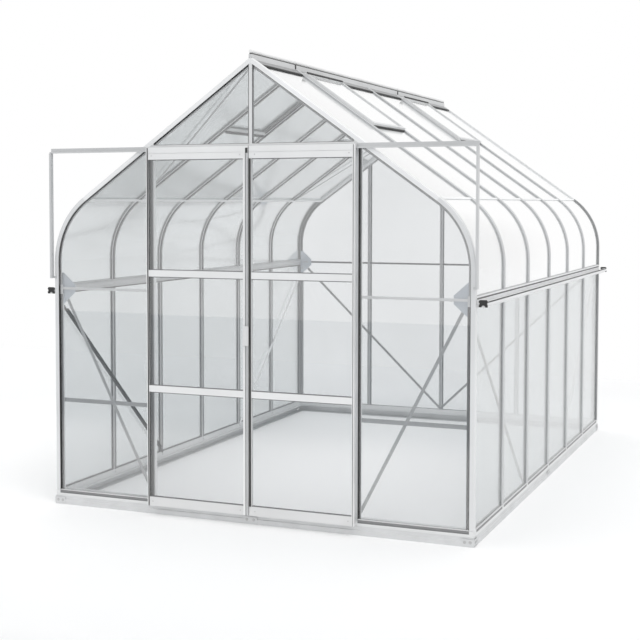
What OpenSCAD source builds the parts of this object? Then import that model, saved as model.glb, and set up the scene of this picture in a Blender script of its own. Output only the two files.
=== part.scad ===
// Glass greenhouse with curved eaves, a pitched roof and two sliding doors.
// Millimetres, Z up, the front with the doors faces -Y. The origin is on the
// ground, in the middle of the whole part's footprint.

/* [House] */
// spacing of the glazing bars
bay = 628; // [560:1:760]
// number of bays along each side
side_bays = 6; // [4:1:8]
// outer face of the base beyond the last bar line, at the long sides
base_out_side = 21; // [19:1:40]
// outer face of the base beyond the last bar line, at the gables
base_out_end = 22; // [20:1:40]
// outer face of the walls and the curved bars beyond the last bar line
wall_out = 18; // [12:1:18]
// outer face of the gable bars beyond the last bar line
gable_out = 16; // [10:1:18]

/* [Base and sill] */
// height of the base profile
base_h = 50; // [40:1:90]
// depth of the base profile
base_d = 60; // [45:1:90]
// sheet thickness of the base profile
base_t = 3; // [2:0.5:4]
// height of the band that stands out along the base's foot
base_band = 27; // [18:1:40]
// how far the base's upper face lies behind that band
base_set = 3; // [2:0.5:5]
// height of the sill above the base
sill_h = 34; // [26:1:50]
// how far the glass sits down in the sill
sill_slot = 16; // [10:1:20]
// thickness of the bolted base plates
plate_t = 2; // [1.5:0.5:4]
// length of a base corner plate along each side
corner_plate = 70; // [50:1:100]
// length of a base joint plate
joint_plate = 84; // [60:1:180]
// height of the bolted base plates
plate_h = 34; // [24:1:40]

/* [Roof] */
// slope of the roof in degrees
roof_pitch = 35.5; // [28:0.5:42]
// outer radius of the curved eave
eave_r = 466; // [320:1:560]
// height of the straight foot of a curved bar
upright_h = 135; // [80:1:220]
// gap between the door header's corners and the roof bars over them
header_clear = 10; // [6:1:30]
// height of the eave beam
eave_h = 55; // [45:1:70]
// half width of the ridge cap at its skirts
cap_reach = 52; // [44:1:70]
// height of the ridge cap above the gable's peak
cap_rise = 40; // [34:1:55]
// radius of the round crest on the ridge cap
crest_r = 9; // [7:0.5:12]
// half width of the neck below the crest
neck_half = 5; // [3:0.5:7]
// height of the groove beside the neck
neck_h = 8; // [5:0.5:12]
// half width of the ridge cap's upright body
upright_half = 10; // [7:0.5:14]
// depth of that body below the gable's peak
cap_drop = 22; // [18:1:28]
// sheet thickness of the skirts between the roof bars
cap_sheet = 4; // [3:0.5:5]
// gap between the ridge cap and the roof bars and panes
lip_gap = 0.3; // [0.2:0.1:1]
// joints between the lengths of the ridge cap, as shares of the house's length
cap_joint_shares = [0.164, 0.676];
// gap at a joint of the ridge cap
cap_joint_gap = 3; // [1:0.5:5]
// width of the strips under the joint of the roof bars
purlin_w = 16; // [12:1:30]
// distance of those strips from the joint
purlin_from = 2; // [1:1:10]
// depth of the ridge beam below the gable's peak
ridge_drop = 62; // [50:1:80]
// thickness of the ridge beam's web
ridge_web = 12; // [6:1:20]
// width of the ridge beam's lower flange
ridge_flange = 34; // [24:1:50]
// thickness of that flange
flange_t = 5; // [3:0.5:8]

/* [Gutter] */
// reach of the gutter beyond the curved bars
gutter_reach = 59; // [50:1:90]
// depth of the gutter trough
gutter_depth = 31; // [24:1:45]
// sheet thickness of the gutter
gutter_t = 3; // [2:0.5:4]
// chamfer along the gutter's lower edge
gutter_bevel = 10; // [4:1:14]
// width of the lip rolled in at the gutter's rim
gutter_lip = 7; // [4:1:12]
// width of a gutter end cap
end_cap_w = 46; // [36:1:60]
// distance of a gutter's ends from the gables' faces
gutter_set = 14; // [0:1:30]
// height of a gutter end cap
end_cap_h = 38; // [28:1:48]
// thickness of a gutter end cap
end_cap_t = 5; // [3:0.5:8]
// radius of the round notch between an end cap's feet
end_cap_notch = 10; // [6:0.5:14]
// depth of the steps in an end cap's sides
end_cap_step = 4; // [2:0.5:6]

/* [Glazing] */
// glass thickness
glass_t = 4; // [3:0.5:6]
// gap on each face of the glass, where the rubber seal sits
glass_gap = 0.5; // [0.2:0.1:0.8]
// gap at each edge of a pane
edge_gap = 1; // [0.5:0.5:3]
// width of a glazing bar
bar_w = 30; // [24:1:40]
// depth of a glazing bar
bar_d = 26; // [22:1:34]
// thickness of a bar's outer cap
cap_t = 9; // [7:1:12]
// chamfer along a bar's outer cap
cap_bevel = 3; // [1:0.5:4]
// thickness of a bar's web between two panes
bar_web = 6; // [4:1:8]
// width of a bar's inner flange
flange_w = 20; // [18:1:34]
// mouth of the bolt channel in a bar's inner face
channel_mouth = 7; // [5:0.5:9]
// inner width of the bolt channel
channel_w = 14; // [11:0.5:16]
// depth of the bolt channel's mouth
channel_lip = 2.5; // [1.5:0.5:3]
// depth of the whole bolt channel
channel_d = 9; // [6:0.5:10]
// how far glass goes into posts and frames
rebate = 10; // [7:1:12]
// width of a corner post's inner leg behind the gable's glass
post_face = 46; // [40:1:60]
// side width of a corner post
post_side = 38; // [37:1:60]
// width of the bars at the ends of the roof
end_bar_w = 30; // [26:1:40]
// gap between the two mitred bars at the peak of a gable
mitre_gap = 0.4; // [0.2:0.1:1]
// width of the cross bars between two panes
cross_w = 16; // [12:1:24]
// thickness of the cap and flange of a roof cross bar
cross_t = 4; // [3:0.5:6]

/* [Gables] */
// width of a door post behind the glass
door_post_w = 40; // [32:1:50]
// width of a door post's outer face
door_post_lip = 26; // [20:1:30]
// inner edge of a door post inside the bar line
door_post_in = 22; // [14:1:30]
// height of the cross bars in the front's side panels
mid_bar_z = 621; // [500:1:800]
// width of those cross bars
mid_bar_w = 24; // [16:1:32]
// height of the gables' eave bars above the underside of the eave beams
eave_bar_up = 27; // [10:1:40]
// height of an eave bar's section
eave_bar_h = 14; // [10:1:24]
// width of the bar at the middle of the front gable
gable_bar_w = 22; // [16:1:30]
// inner reach of a corner gusset from the corner post
gusset_reach = 78; // [50:1:90]
// height of a gusset at the post
gusset_h = 184; // [140:1:220]
// height of a gusset's blunt tip
gusset_tip = 46; // [20:1:70]
// thickness of gussets and braces
strap_t = 3; // [2:0.5:5]
// width of a brace
strap_w = 18; // [14:1:30]

/* [Doors] */
// door height
door_h = 2047; // [1900:1:2100]
// gap under the doors
door_clear = 57; // [52:1:70]
// gap between the two doors
door_gap = 6; // [5:1:12]
// overlap of a closed door on its post
door_lap = 22; // [10:1:36]
// thickness of a door
door_t = 24; // [20:1:32]
// distance of the doors' meeting line from the middle of the house
meet_x = 9; // [0:1:20]
// width of a door's outer stile
stile_w = 13; // [12:1:30]
// width of the left door's meeting stile
left_meet_w = 29; // [20:1:40]
// width of the right door's meeting stile
right_meet_w = 14; // [12:1:30]
// how far a door's panes go into its stiles
stile_in = 8; // [5:0.5:10]
// how far the rails' faces lie behind the stiles' faces
rail_set = 3; // [2:0.5:6]
// height and depth of the groove along a top rail
rail_groove = 3; // [2:0.5:5]
// height of a door's top rail
top_rail = 70; // [50:1:90]
// height of a door's bottom rail
bottom_rail = 52; // [40:1:80]
// height of a door's two middle rails
mid_rail = 37; // [28:1:50]
// height of the lower middle rail's bottom edge above the door's foot
mid_low = 657; // [500:1:800]
// height of the upper middle rail's bottom edge above the door's foot
mid_high = 1316; // [1100:1:1500]
// gap between a door and the track
run_gap = 6; // [5:1:10]
// height of a handle
handle_h = 108; // [80:1:160]
// height of the handle's lower end above the door's foot
handle_at = 948; // [800:1:1100]
// width of the handle's grip
handle_w = 32; // [24:1:40]
// reach of the grip beyond the door's meeting edge
handle_over = 8; // [4:1:10]
// thickness of the grip
handle_t = 10; // [6:1:14]
// gap between the grip and the doors
handle_gap = 6; // [5.5:0.5:10]
// width of the handle's foot on the stile
handle_foot = 14; // [8:1:18]

/* [Track] */
// half length of the door track
track_half = 1290; // [1280:1:1320]
// height of the track
track_h = 28; // [24:1:40]
// depth of the track
track_d = 20; // [18:1:30]
// sheet thickness of the track
track_t = 3; // [2:0.5:4]
// height of the lip along the track's ledge
track_lip = 5; // [3:1:8]
// height of the door header
header_h = 36; // [30:1:50]
// width of a track strut
strut_w = 12; // [10:1:16]
// depth of a track strut
strut_d = 26; // [20:1:32]
// thickness of the tab at a strut's foot
tab_t = 5; // [3:0.5:8]
// height of that tab, and its lap on the curved bar
tab_h = 12; // [8:1:20]
// height of a strut's foot above the eave beam
strut_up = 39; // [20:1:100]
// roller radius
roller_r = 9; // [7:0.5:10]
// roller width
roller_w = 9; // [6:0.5:11]
// gap under a roller
roller_gap = 0.3; // [0.1:0.1:0.5]
// radius of a roller's axle
axle_r = 2.5; // [2:0.5:3]
// distance of a roller from the door's edge
roller_in = 70; // [40:1:120]
// length of a guide block under a door
guide_l = 36; // [20:1:60]
// height of a guide block
guide_h = 16; // [10:1:24]
// gap between a guide block and the sill
guide_gap = 1; // [0.5:0.5:3]

/* [Roof vents] */
// distance of a vent's lower edge from the joint of the roof bars
vent_from = 738; // [600:1:900]
// gap between a vent's frame and the bars beside it
vent_gap = 4; // [3:1:10]
// width of a vent's frame
vent_rail = 20; // [14:1:30]
// depth of a vent's frame
vent_d = 18; // [14:1:24]
// length of a vent's tongue under the ridge cap
vent_tongue = 26; // [15:1:40]

/* [Hidden] */
$fn = 96;
slot = glass_t + 2 * glass_gap;
glass_in = cap_t + glass_gap;
grid_x = 2 * bay;
grid_y = side_bays * bay / 2;
base_x = grid_x + base_out_side;
base_y = grid_y + base_out_end;
wall_x = grid_x + wall_out;
gable_y = grid_y + gable_out;
sill_z = base_h + sill_h;
glass_z = sill_z - sill_slot + edge_gap;
jamb_x = bay - door_post_in;
left_w = jamb_x + door_lap + meet_x - door_gap / 2;
right_w = jamb_x + door_lap - meet_x - door_gap / 2;
door_back = gable_y + track_d + run_gap;
door_front = door_back + door_t;
door_top = door_clear + door_h;
track_z = door_top + track_lip - track_h;
header_z = track_z;
header_top = header_z + header_h;
roller_z = track_z + track_t + roller_gap + roller_r;
arc_x = wall_x - eave_r;
arc_turn = 90 - roof_pitch;
joint_x = arc_x + eave_r * cos(arc_turn);
peak_z = header_top + header_clear + bar_d / cos(roof_pitch) + jamb_x * tan(roof_pitch);
joint_z = peak_z - joint_x * tan(roof_pitch);
spring_z = joint_z - eave_r * sin(arc_turn);
eave_top = spring_z - upright_h;
eave_z = eave_top - eave_h;
eave_bar_z = eave_z + eave_bar_up;
strut_foot = eave_top + strut_up;
slope_l = joint_x / cos(roof_pitch);
rafter_l = (joint_x - bar_d * sin(roof_pitch) - ridge_web / 2) / cos(roof_pitch);
front_reach = door_front + handle_gap + handle_t;
house_y = (front_reach - base_y - plate_t) / 2;
cap_foot = peak_z - cap_drop;
post_slot = bar_d - rebate;
head_d = end_bar_w - rebate;
vent_end = (joint_x - cap_reach - vent_gap) / cos(roof_pitch);
strap_deep = bar_d + strap_t;
pane_feet = [bottom_rail, mid_low + mid_rail, mid_high + mid_rail];
pane_tops = [mid_low, mid_high, door_h - top_rail];
metal = "#d5d8da";
pale_metal = "#e4e6e7";
blue_grey = "#b4bdc6";
black = "#1b1c1e";
white = "#f2f2ef";
glass = [0.80, 0.86, 0.88, 0.35];
bar_lines = [for (i = [1 : side_bays - 1]) i * bay - grid_y];
vent_bays = [1, side_bays - 2];

// Part of the house, with its own middle moved to where the whole part's middle is.
module house() {
  translate([0, house_y, 0]) children();
}

module both_sides() {
  children();
  mirror([1, 0, 0]) children();
}

module both_ends() {
  children();
  mirror([0, 1, 0]) children();
}

module four_corners() {
  both_sides() both_ends() children();
}

// Section of a glazing bar: u across, v outward from the outer face.
module bar_section(w = bar_w, web = bar_web, fl = flange_w) {
  polygon([
    [-w / 2, -cap_t], [-w / 2, -cap_bevel], [cap_bevel - w / 2, 0],
    [w / 2 - cap_bevel, 0], [w / 2, -cap_bevel], [w / 2, -cap_t],
    [web / 2, -cap_t], [web / 2, -cap_t - slot], [fl / 2, -cap_t - slot],
    [fl / 2, -bar_d], [channel_mouth / 2, -bar_d],
    [channel_mouth / 2, channel_lip - bar_d], [channel_w / 2, channel_lip - bar_d],
    [channel_w / 2, channel_d - bar_d], [-channel_w / 2, channel_d - bar_d],
    [-channel_w / 2, channel_lip - bar_d], [-channel_mouth / 2, channel_lip - bar_d],
    [-channel_mouth / 2, -bar_d], [-fl / 2, -bar_d], [-fl / 2, -cap_t - slot],
    [-web / 2, -cap_t - slot], [-web / 2, -cap_t]
  ]);
}

// Section of a bar at the end of the roof: u inward from the gable, v outward.
module end_section() {
  polygon([
    [0, -cap_bevel], [cap_bevel, 0], [end_bar_w, 0], [end_bar_w, -cap_t],
    [end_bar_w - rebate, -cap_t], [end_bar_w - rebate, -cap_t - slot],
    [end_bar_w, -cap_t - slot], [end_bar_w, -bar_d], [cap_t + slot, -bar_d],
    [cap_t + slot, rebate - bar_d], [cap_t, rebate - bar_d], [cap_t, -bar_d], [0, -bar_d]
  ]);
}

// Section of a corner post: a inward from the side, b inward from the gable.
module post_section() {
  polygon([
    [0, cap_bevel], [0, post_side], [cap_t, post_side], [cap_t, post_side - rebate],
    [cap_t + slot, post_side - rebate], [cap_t + slot, post_side], [bar_d, post_side],
    [bar_d, bar_d], [post_face, bar_d], [post_face, cap_t + slot],
    [post_slot, cap_t + slot], [post_slot, cap_t], [bar_d, cap_t],
    [bar_d, 0], [cap_bevel, 0]
  ]);
}

// Bar section laid for a right-hand wall: v to +X and u to +Y.
module outward() {
  rotate(-90) children();
}

// Right-hand roof slope: X up the slope from the bars' joint, Z outward.
module on_slope(y = 0) {
  translate([joint_x, y, joint_z])
    rotate([0, roof_pitch, 0])
      mirror([1, 0, 0]) children();
}

// Block on the slope: from s0 to s1 up the slope, width w about y, from v0 to v1.
module slope_block(s0, s1, y, w, v0, v1) {
  on_slope(y)
    translate([s0, -w / 2, v0])
      cube([s1 - s0, w, v1 - v0]);
}

// Straight bar up the right-hand slope, from the joint, with any section.
module slope_bar(y, l) {
  translate([joint_x, y, joint_z])
    rotate([0, roof_pitch - 90, 0])
      linear_extrude(l) outward() children();
}

// Curved bar over the right-hand eave: upright from the eave beam, then the arc.
module arch(y) {
  translate([wall_x, y, eave_top])
    linear_extrude(spring_z - eave_top) outward() children();
  translate([arc_x, y, spring_z])
    rotate([90, 0, 0])
      rotate_extrude(angle = arc_turn)
        translate([eave_r, 0])
          mirror([0, 1]) rotate(-90) children();
}

// Outline of the gable, moved in by a distance from the outer faces.
module gable_area(inset) {
  r = eave_r - inset;
  side = wall_x - inset;
  bend = [arc_x + r * cos(arc_turn), spring_z + r * sin(arc_turn)];
  union() {
    polygon([
      [-side, 0], [side, 0], [side, spring_z], bend,
      [0, peak_z - inset / cos(roof_pitch)],
      [-bend[0], bend[1]], [-side, spring_z]
    ]);
    translate([arc_x, spring_z]) circle(r);
    translate([-arc_x, spring_z]) circle(r);
  }
}

// Upright plate in a gable, between two depths behind the front gable's face.
module gable_plate(depth, t) {
  translate([0, depth + t - gable_y, 0])
    rotate([90, 0, 0])
      linear_extrude(t) children();
}

// Rectangle from one corner to the other.
module area(x0, z0, x1, z1) {
  translate([x0, z0]) square([x1 - x0, z1 - z0]);
}

// Strip of the strap's width between two points.
module strap(p, q) {
  run = q - p;
  translate(p)
    rotate(atan2(run[1], run[0]))
      translate([0, -strap_w / 2])
        square([norm(run), strap_w]);
}

// Base profile: folded channel with a band along its foot, open to the inside.
module base_section() {
  inner = -base_set - base_t;
  polygon([
    [0, 0], [0, base_band], [-base_set, base_band + base_set], [-base_set, base_h],
    [-base_d, base_h], [-base_d, base_h - base_t], [inner, base_h - base_t],
    [inner, base_t], [-base_d, base_t], [-base_d, 0]
  ]);
}

// Sill profile: channel for the lower edge of the glass.
module sill_section() {
  slot_z = sill_z - sill_slot;
  polygon([
    [0, base_h], [0, sill_z - cap_bevel], [-cap_bevel, sill_z], [-cap_t, sill_z],
    [-cap_t, slot_z], [-cap_t - slot, slot_z], [-cap_t - slot, sill_z],
    [-bar_d, sill_z], [-bar_d, base_h]
  ]);
}

// Profile along a long side, outward to +X, at a given outer face.
module along_side(face, half) {
  translate([face, half, 0])
    rotate([90, 0, 0])
      linear_extrude(2 * half) children();
}

// Profile along the front, outward to -Y, at a given outer face.
module along_front(face, half) {
  translate([-half, -face, 0])
    rotate([90, 0, 90])
      linear_extrude(2 * half)
        mirror([1, 0]) children();
}

module base_ends() {
  color(metal) house() both_ends() along_front(base_y, base_x) base_section();
}

module base_sides() {
  color(metal) house() both_sides() along_side(base_x, base_y - base_d) base_section();
}

// Bolted plates at the base's corners and at the joint in the middle of each side.
module base_plates() {
  low = (base_h - plate_h) / 2;
  color(pale_metal) house() {
    four_corners()
      translate([base_x + plate_t - corner_plate, -base_y - plate_t, low])
        difference() {
          cube([corner_plate, corner_plate, plate_h]);
          translate([-plate_t, plate_t, -plate_h])
            cube([corner_plate, corner_plate, 3 * plate_h]);
        }
    both_ends()
      translate([-joint_plate / 2, -base_y - plate_t, low])
        cube([joint_plate, plate_t, plate_h]);
    both_sides()
      translate([base_x, -joint_plate / 2, low])
        cube([plate_t, joint_plate, plate_h]);
  }
}

module end_sills() {
  color(pale_metal) house() both_ends() along_front(gable_y, wall_x) sill_section();
}

module side_sills() {
  color(pale_metal) house() both_sides() along_side(wall_x, gable_y - bar_d) sill_section();
}

// Corner posts: the whole section up to the eave beam, and a head in front of its end.
module corner_posts() {
  color(metal) house() four_corners()
    translate([wall_x, -gable_y, sill_z])
      mirror([1, 0, 0]) {
        linear_extrude(eave_z - sill_z) post_section();
        linear_extrude(eave_top - sill_z)
          intersection() {
            post_section();
            square([post_face, head_d]);
          }
      }
}

module side_wall_bars() {
  color(metal) house() both_sides()
    for (y = bar_lines)
      translate([wall_x, y, sill_z])
        linear_extrude(eave_z - sill_z)
          outward() bar_section();
}

// Eave beam: takes the wall panes from below and the curved panes from above.
module eave_section() {
  cap = wall_x - cap_t;
  inner = wall_x - bar_d;
  polygon([
    [inner, eave_z], [cap - slot, eave_z], [cap - slot, eave_z + sill_slot],
    [cap, eave_z + sill_slot], [cap, eave_z], [wall_x, eave_z], [wall_x, eave_top],
    [cap, eave_top], [cap, eave_top - sill_slot], [cap - slot, eave_top - sill_slot],
    [cap - slot, eave_top], [inner, eave_top]
  ]);
}

module eave_beams() {
  color(pale_metal) house() both_sides() along_side(0, gable_y - head_d) eave_section();
}

module gutter_section() {
  rim = wall_x + gutter_reach;
  rim_z = eave_z + gutter_depth;
  polygon([
    [wall_x, eave_z], [rim - gutter_bevel, eave_z], [rim, eave_z + gutter_bevel],
    [rim, rim_z], [rim - gutter_lip, rim_z], [rim - gutter_lip, rim_z - gutter_t],
    [rim - gutter_t, rim_z - gutter_t], [rim - gutter_t, eave_z + gutter_bevel + gutter_t / 2],
    [rim - gutter_bevel - gutter_t / 2, eave_z + gutter_t], [wall_x, eave_z + gutter_t]
  ]);
}

module gutters() {
  color(pale_metal) house() both_sides()
    along_side(0, gable_y - gutter_set - end_cap_t) gutter_section();
}

// Gutter end caps: a stepped head and two feet beside a round notch.
module gutter_caps() {
  rim = wall_x + gutter_reach;
  back = rim - end_cap_w;
  cap_top = eave_z + end_cap_h;
  mid_z = eave_z + end_cap_h / 2;
  color(black) house() four_corners()
    translate([0, gutter_set + end_cap_t - gable_y, 0])
      rotate([90, 0, 0])
        linear_extrude(end_cap_t)
          difference() {
            area(back, eave_z, rim, cap_top);
            translate([rim - end_cap_w / 2, eave_z]) circle(end_cap_notch);
            for (x = [back, rim - end_cap_step]) {
              area(x, mid_z - end_cap_step, x + end_cap_step, mid_z + end_cap_step);
              area(x, cap_top - end_cap_step, x + end_cap_step, cap_top);
            }
          }
}

// The curved bars at the gables and, between them, those on the bar lines.
module end_arches() {
  color(metal) house() four_corners() arch(-gable_y) mirror([1, 0]) end_section();
}

module eave_arches() {
  color(metal) house() both_sides()
    for (y = bar_lines) arch(y) bar_section();
}

// Straight roof bars at the gables, mitred at the peak.
module end_rafters() {
  color(metal) house() four_corners()
    intersection() {
      slope_bar(-gable_y, slope_l) mirror([1, 0]) end_section();
      translate([mitre_gap / 2, -2 * gable_y, 0])
        cube([2 * wall_x, 4 * gable_y, 2 * peak_z]);
    }
}

module rafters() {
  color(metal) house() both_sides()
    for (y = bar_lines) slope_bar(y, rafter_l) bar_section();
}

module ridge_beam() {
  foot_z = peak_z - ridge_drop;
  color(metal) house()
    along_side(0, gable_y - end_bar_w) {
      area(-ridge_flange / 2, foot_z, ridge_flange / 2, foot_z + flange_t);
      area(-ridge_web / 2, foot_z, ridge_web / 2, cap_foot);
    }
}

// Ridge cap in three lengths: a round crest on a neck, an upright body, and skirts over
// the panes between the roof bars.
module ridge_cap() {
  top_z = peak_z + cap_rise;
  face_top = top_z - 2 * crest_r - neck_h;
  over_bars = peak_z + lip_gap - upright_half * tan(roof_pitch);
  color(pale_metal) house()
    difference() {
      union() {
        along_side(0, gable_y) translate([0, top_z - crest_r]) circle(crest_r);
        along_side(0, gable_y) area(-neck_half, peak_z + lip_gap, neck_half, top_z - crest_r);
        along_side(0, gable_y)
          polygon([
            [0, peak_z + lip_gap], [upright_half, over_bars], [upright_half, face_top],
            [-upright_half, face_top], [-upright_half, over_bars]
          ]);
        along_side(0, gable_y - end_bar_w) area(-upright_half, cap_foot, upright_half, face_top);
        both_sides()
          for (i = [0 : side_bays - 1]) ridge_skirt(bay_start(i) + lip_gap, bay_stop(i) - lip_gap);
      }
      for (share = cap_joint_shares)
        translate([-2 * cap_reach, (2 * share - 1) * gable_y - cap_joint_gap / 2, cap_foot - cap_reach])
          cube([4 * cap_reach, cap_joint_gap, 4 * cap_reach]);
    }
}

// Skirt of the ridge cap over one pane.
module ridge_skirt(y0, y1) {
  v = lip_gap - glass_in;
  slope_block((joint_x - cap_reach) / cos(roof_pitch), (joint_x - upright_half) / cos(roof_pitch),
              (y0 + y1) / 2, y1 - y0, v, v + cap_sheet);
}

// Free space between the bars' faces in one bay of the roof.
function bay_start(i) = i == 0 ? end_bar_w - gable_y : i * bay - grid_y + bar_w / 2;
function bay_stop(i) = i == side_bays - 1 ? gable_y - end_bar_w : (i + 1) * bay - grid_y - bar_w / 2;

// Cross bars in the roof: at the joint of the bars in every bay, under each vent, and a
// strip along the inner side of all bars just above their joint.
module roof_cross_bars() {
  color(pale_metal) house() both_sides() {
    for (i = [0 : side_bays - 1]) {
      cross_bar(0, bay_start(i), bay_stop(i));
      if (len(search(i, vent_bays)) > 0) cross_bar(vent_from, bay_start(i), bay_stop(i));
    }
    slope_block(purlin_from, purlin_from + purlin_w, 0, 2 * (gable_y - end_bar_w), -strap_deep, -bar_d);
  }
}

// One roof cross bar, with the panes' edges in its two sides.
module cross_bar(s, y0, y1) {
  on_slope(0)
    translate([s, y1, 0])
      rotate([90, 0, 0])
        linear_extrude(y1 - y0)
          polygon([
            [-cross_w / 2, -cap_t], [-cross_w / 2, cross_t - cap_t],
            [cross_w / 2, cross_t - cap_t], [cross_w / 2, -cap_t],
            [bar_web / 4, -cap_t], [bar_web / 4, -cap_t - slot],
            [cross_w / 2, -cap_t - slot], [cross_w / 2, -cap_t - slot - cross_t],
            [-cross_w / 2, -cap_t - slot - cross_t], [-cross_w / 2, -cap_t - slot],
            [-bar_web / 4, -cap_t - slot], [-bar_web / 4, -cap_t]
          ]);
}

module door_posts() {
  color(metal) house() both_sides()
    intersection() {
      translate([jamb_x, -gable_y, sill_z])
        linear_extrude(peak_z - sill_z)
          polygon([
            [0, 0], [door_post_lip, 0], [door_post_lip, cap_t], [door_post_lip - rebate, cap_t],
            [door_post_lip - rebate, cap_t + slot], [door_post_w, cap_t + slot],
            [door_post_w, bar_d], [0, bar_d]
          ]);
      gable_plate(0, bar_d) gable_area(bar_d);
    }
}

module rear_wall_bars() {
  color(metal) house()
    for (x = [-bay, 0, bay])
      intersection() {
        translate([x, gable_y, sill_z])
          linear_extrude(peak_z - sill_z) bar_section();
        mirror([0, 1, 0]) gable_plate(0, bar_d) gable_area(bar_d);
      }
}

// Bar in the middle of the front gable, over the doors.
module gable_bar() {
  color(metal) house()
    intersection() {
      translate([0, -gable_y, header_top])
        linear_extrude(peak_z - header_top)
          mirror([0, 1]) bar_section(gable_bar_w, bar_web, gable_bar_w);
      gable_plate(0, bar_d) gable_area(bar_d);
    }
}

// Header over the doorway, with a channel for the gable panes.
module front_header() {
  color(metal) house()
    difference() {
      translate([-jamb_x, -gable_y, header_z])
        cube([2 * jamb_x, bar_d, header_h]);
      translate([-2 * jamb_x, cap_t - gable_y, header_top - rebate])
        cube([4 * jamb_x, slot, 2 * rebate]);
    }
}

// Flat cross bars behind the braces beside the doors, on pads at both posts.
module front_cross_bars() {
  x0 = jamb_x + door_post_w / 2;
  x1 = wall_x - bar_d;
  low = mid_bar_z - mid_bar_w / 2;
  high = mid_bar_z + mid_bar_w / 2;
  color(blue_grey) house() both_sides() {
    gable_plate(strap_deep, strap_t) area(x0, low, x1, high);
    gable_plate(bar_d, strap_t) {
      area(x0, low, jamb_x + door_post_w, high);
      area(wall_x - post_face, low, x1, high);
    }
  }
}

// Inner bars at the height of the eaves, behind the glass of both gables.
module gable_eave_bars() {
  x0 = jamb_x + door_post_w;
  x1 = wall_x - post_face;
  deep = cap_t + slot;
  color(pale_metal) house() {
    both_sides()
      gable_plate(deep, bar_d - deep)
        area(x0, eave_bar_z, x1, eave_bar_z + eave_bar_h);
    mirror([0, 1, 0]) both_sides()
      gable_plate(deep, bar_d - deep) {
        area(flange_w / 2, eave_bar_z, bay - flange_w / 2, eave_bar_z + eave_bar_h);
        area(bay + flange_w / 2, eave_bar_z, x1, eave_bar_z + eave_bar_h);
      }
  }
}

module gusset_shape() {
  x1 = wall_x - bar_d;
  x0 = wall_x - post_face;
  mid_z = eave_bar_z + eave_bar_h / 2;
  polygon([
    [x1, mid_z - gusset_h / 2], [x0, mid_z - gusset_h / 2],
    [x0 - gusset_reach, mid_z - gusset_tip / 2], [x0 - gusset_reach, mid_z + gusset_tip / 2],
    [x0, mid_z + gusset_h / 2], [x1, mid_z + gusset_h / 2]
  ]);
}

module gussets() {
  color(blue_grey) house() four_corners() gable_plate(bar_d, strap_t) gusset_shape();
}

// Flat braces in the gables, from the gussets down to the sill.
module gable_braces() {
  top = [wall_x - bar_d - strap_w, eave_bar_z];
  front_foot = [jamb_x + door_post_w / 2, sill_z + strap_w / 2];
  rear_foot = [0, sill_z + strap_w / 2];
  color(metal) house() {
    both_sides()
      gable_plate(bar_d, strap_t)
        difference() {
          strap(front_foot, top);
          gusset_shape();
        }
    mirror([0, 1, 0])
      gable_plate(bar_d, strap_t)
        both_sides()
          difference() {
            strap(rear_foot, top);
            gusset_shape();
          }
  }
}

// Flat braces in the long walls, from the corner posts down to the sill.
module side_braces() {
  top = [-gable_y + post_side, eave_bar_z - gusset_h / 2];
  foot = [2 * bay - grid_y, sill_z];
  color(metal) house() four_corners()
    translate([wall_x - bar_d - strap_t, 0, 0])
      rotate([90, 0, 90])
        linear_extrude(strap_t) strap(foot, top);
}

// Flat braces under the end bays of the roof, from the ridge beam to the first bars.
module roof_braces() {
  brace_l = (joint_x - strap_deep * sin(roof_pitch) - ridge_web / 2) / cos(roof_pitch);
  top = [brace_l, end_bar_w + strap_w - gable_y];
  foot = [purlin_from + purlin_w + strap_w, bay - grid_y];
  color(metal) house() four_corners()
    on_slope(0)
      translate([0, 0, -strap_deep])
        linear_extrude(strap_t)
          intersection() {
            strap(foot, top);
            translate([0, -gable_y]) square([brace_l, gable_y]);
          }
}

module door_track() {
  color(pale_metal) house()
    along_front(gable_y, track_half)
      polygon([
        [0, track_z], [track_d, track_z], [track_d, track_z + track_t + track_lip],
        [track_d - track_t, track_z + track_t + track_lip], [track_d - track_t, track_z + track_t],
        [track_t, track_z + track_t], [track_t, track_z + track_h], [0, track_z + track_h]
      ]);
}

// Struts that carry the ends of the track, each with a tab on the curved bar.
module track_struts() {
  color(pale_metal) house() both_sides() {
    translate([track_half - strut_w, -gable_y - strut_d, strut_foot])
      cube([strut_w, strut_d, track_z - strut_foot]);
    translate([wall_x - tab_h, -gable_y - tab_t, strut_foot])
      cube([track_half - wall_x + tab_h, tab_t, tab_h]);
  }
}

// Panes

module wall_panes() {
  color(glass) house() both_sides()
    for (i = [0 : side_bays - 1]) {
      y0 = i == 0 ? post_side - rebate - gable_y : i * bay - grid_y + bar_web / 2;
      y1 = i == side_bays - 1 ? gable_y - post_side + rebate : (i + 1) * bay - grid_y - bar_web / 2;
      translate([wall_x - glass_in - glass_t, y0 + edge_gap, glass_z])
        cube([glass_t, y1 - y0 - 2 * edge_gap, eave_z + sill_slot - edge_gap - glass_z]);
    }
}

// Left and right edge of the roof pane in one bay.
function pane_start(i) = i == 0 ? end_bar_w - rebate - gable_y : i * bay - grid_y + bar_web / 2;
function pane_stop(i) = i == side_bays - 1 ? gable_y - end_bar_w + rebate
  : (i + 1) * bay - grid_y - bar_web / 2;

module eave_panes() {
  foot = eave_top - sill_slot + edge_gap;
  short_turn = arc_turn - atan(bar_web / 2 / eave_r);
  color(glass) house() both_sides()
    for (i = [0 : side_bays - 1]) {
      y0 = pane_start(i) + edge_gap;
      y1 = pane_stop(i) - edge_gap;
      translate([wall_x - glass_in - glass_t, y0, foot])
        cube([glass_t, y1 - y0, spring_z - foot]);
      translate([arc_x, y1, spring_z])
        rotate([90, 0, 0])
          rotate_extrude(angle = short_turn)
            translate([eave_r - glass_in - glass_t, 0])
              square([glass_t, y1 - y0]);
    }
}

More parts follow.
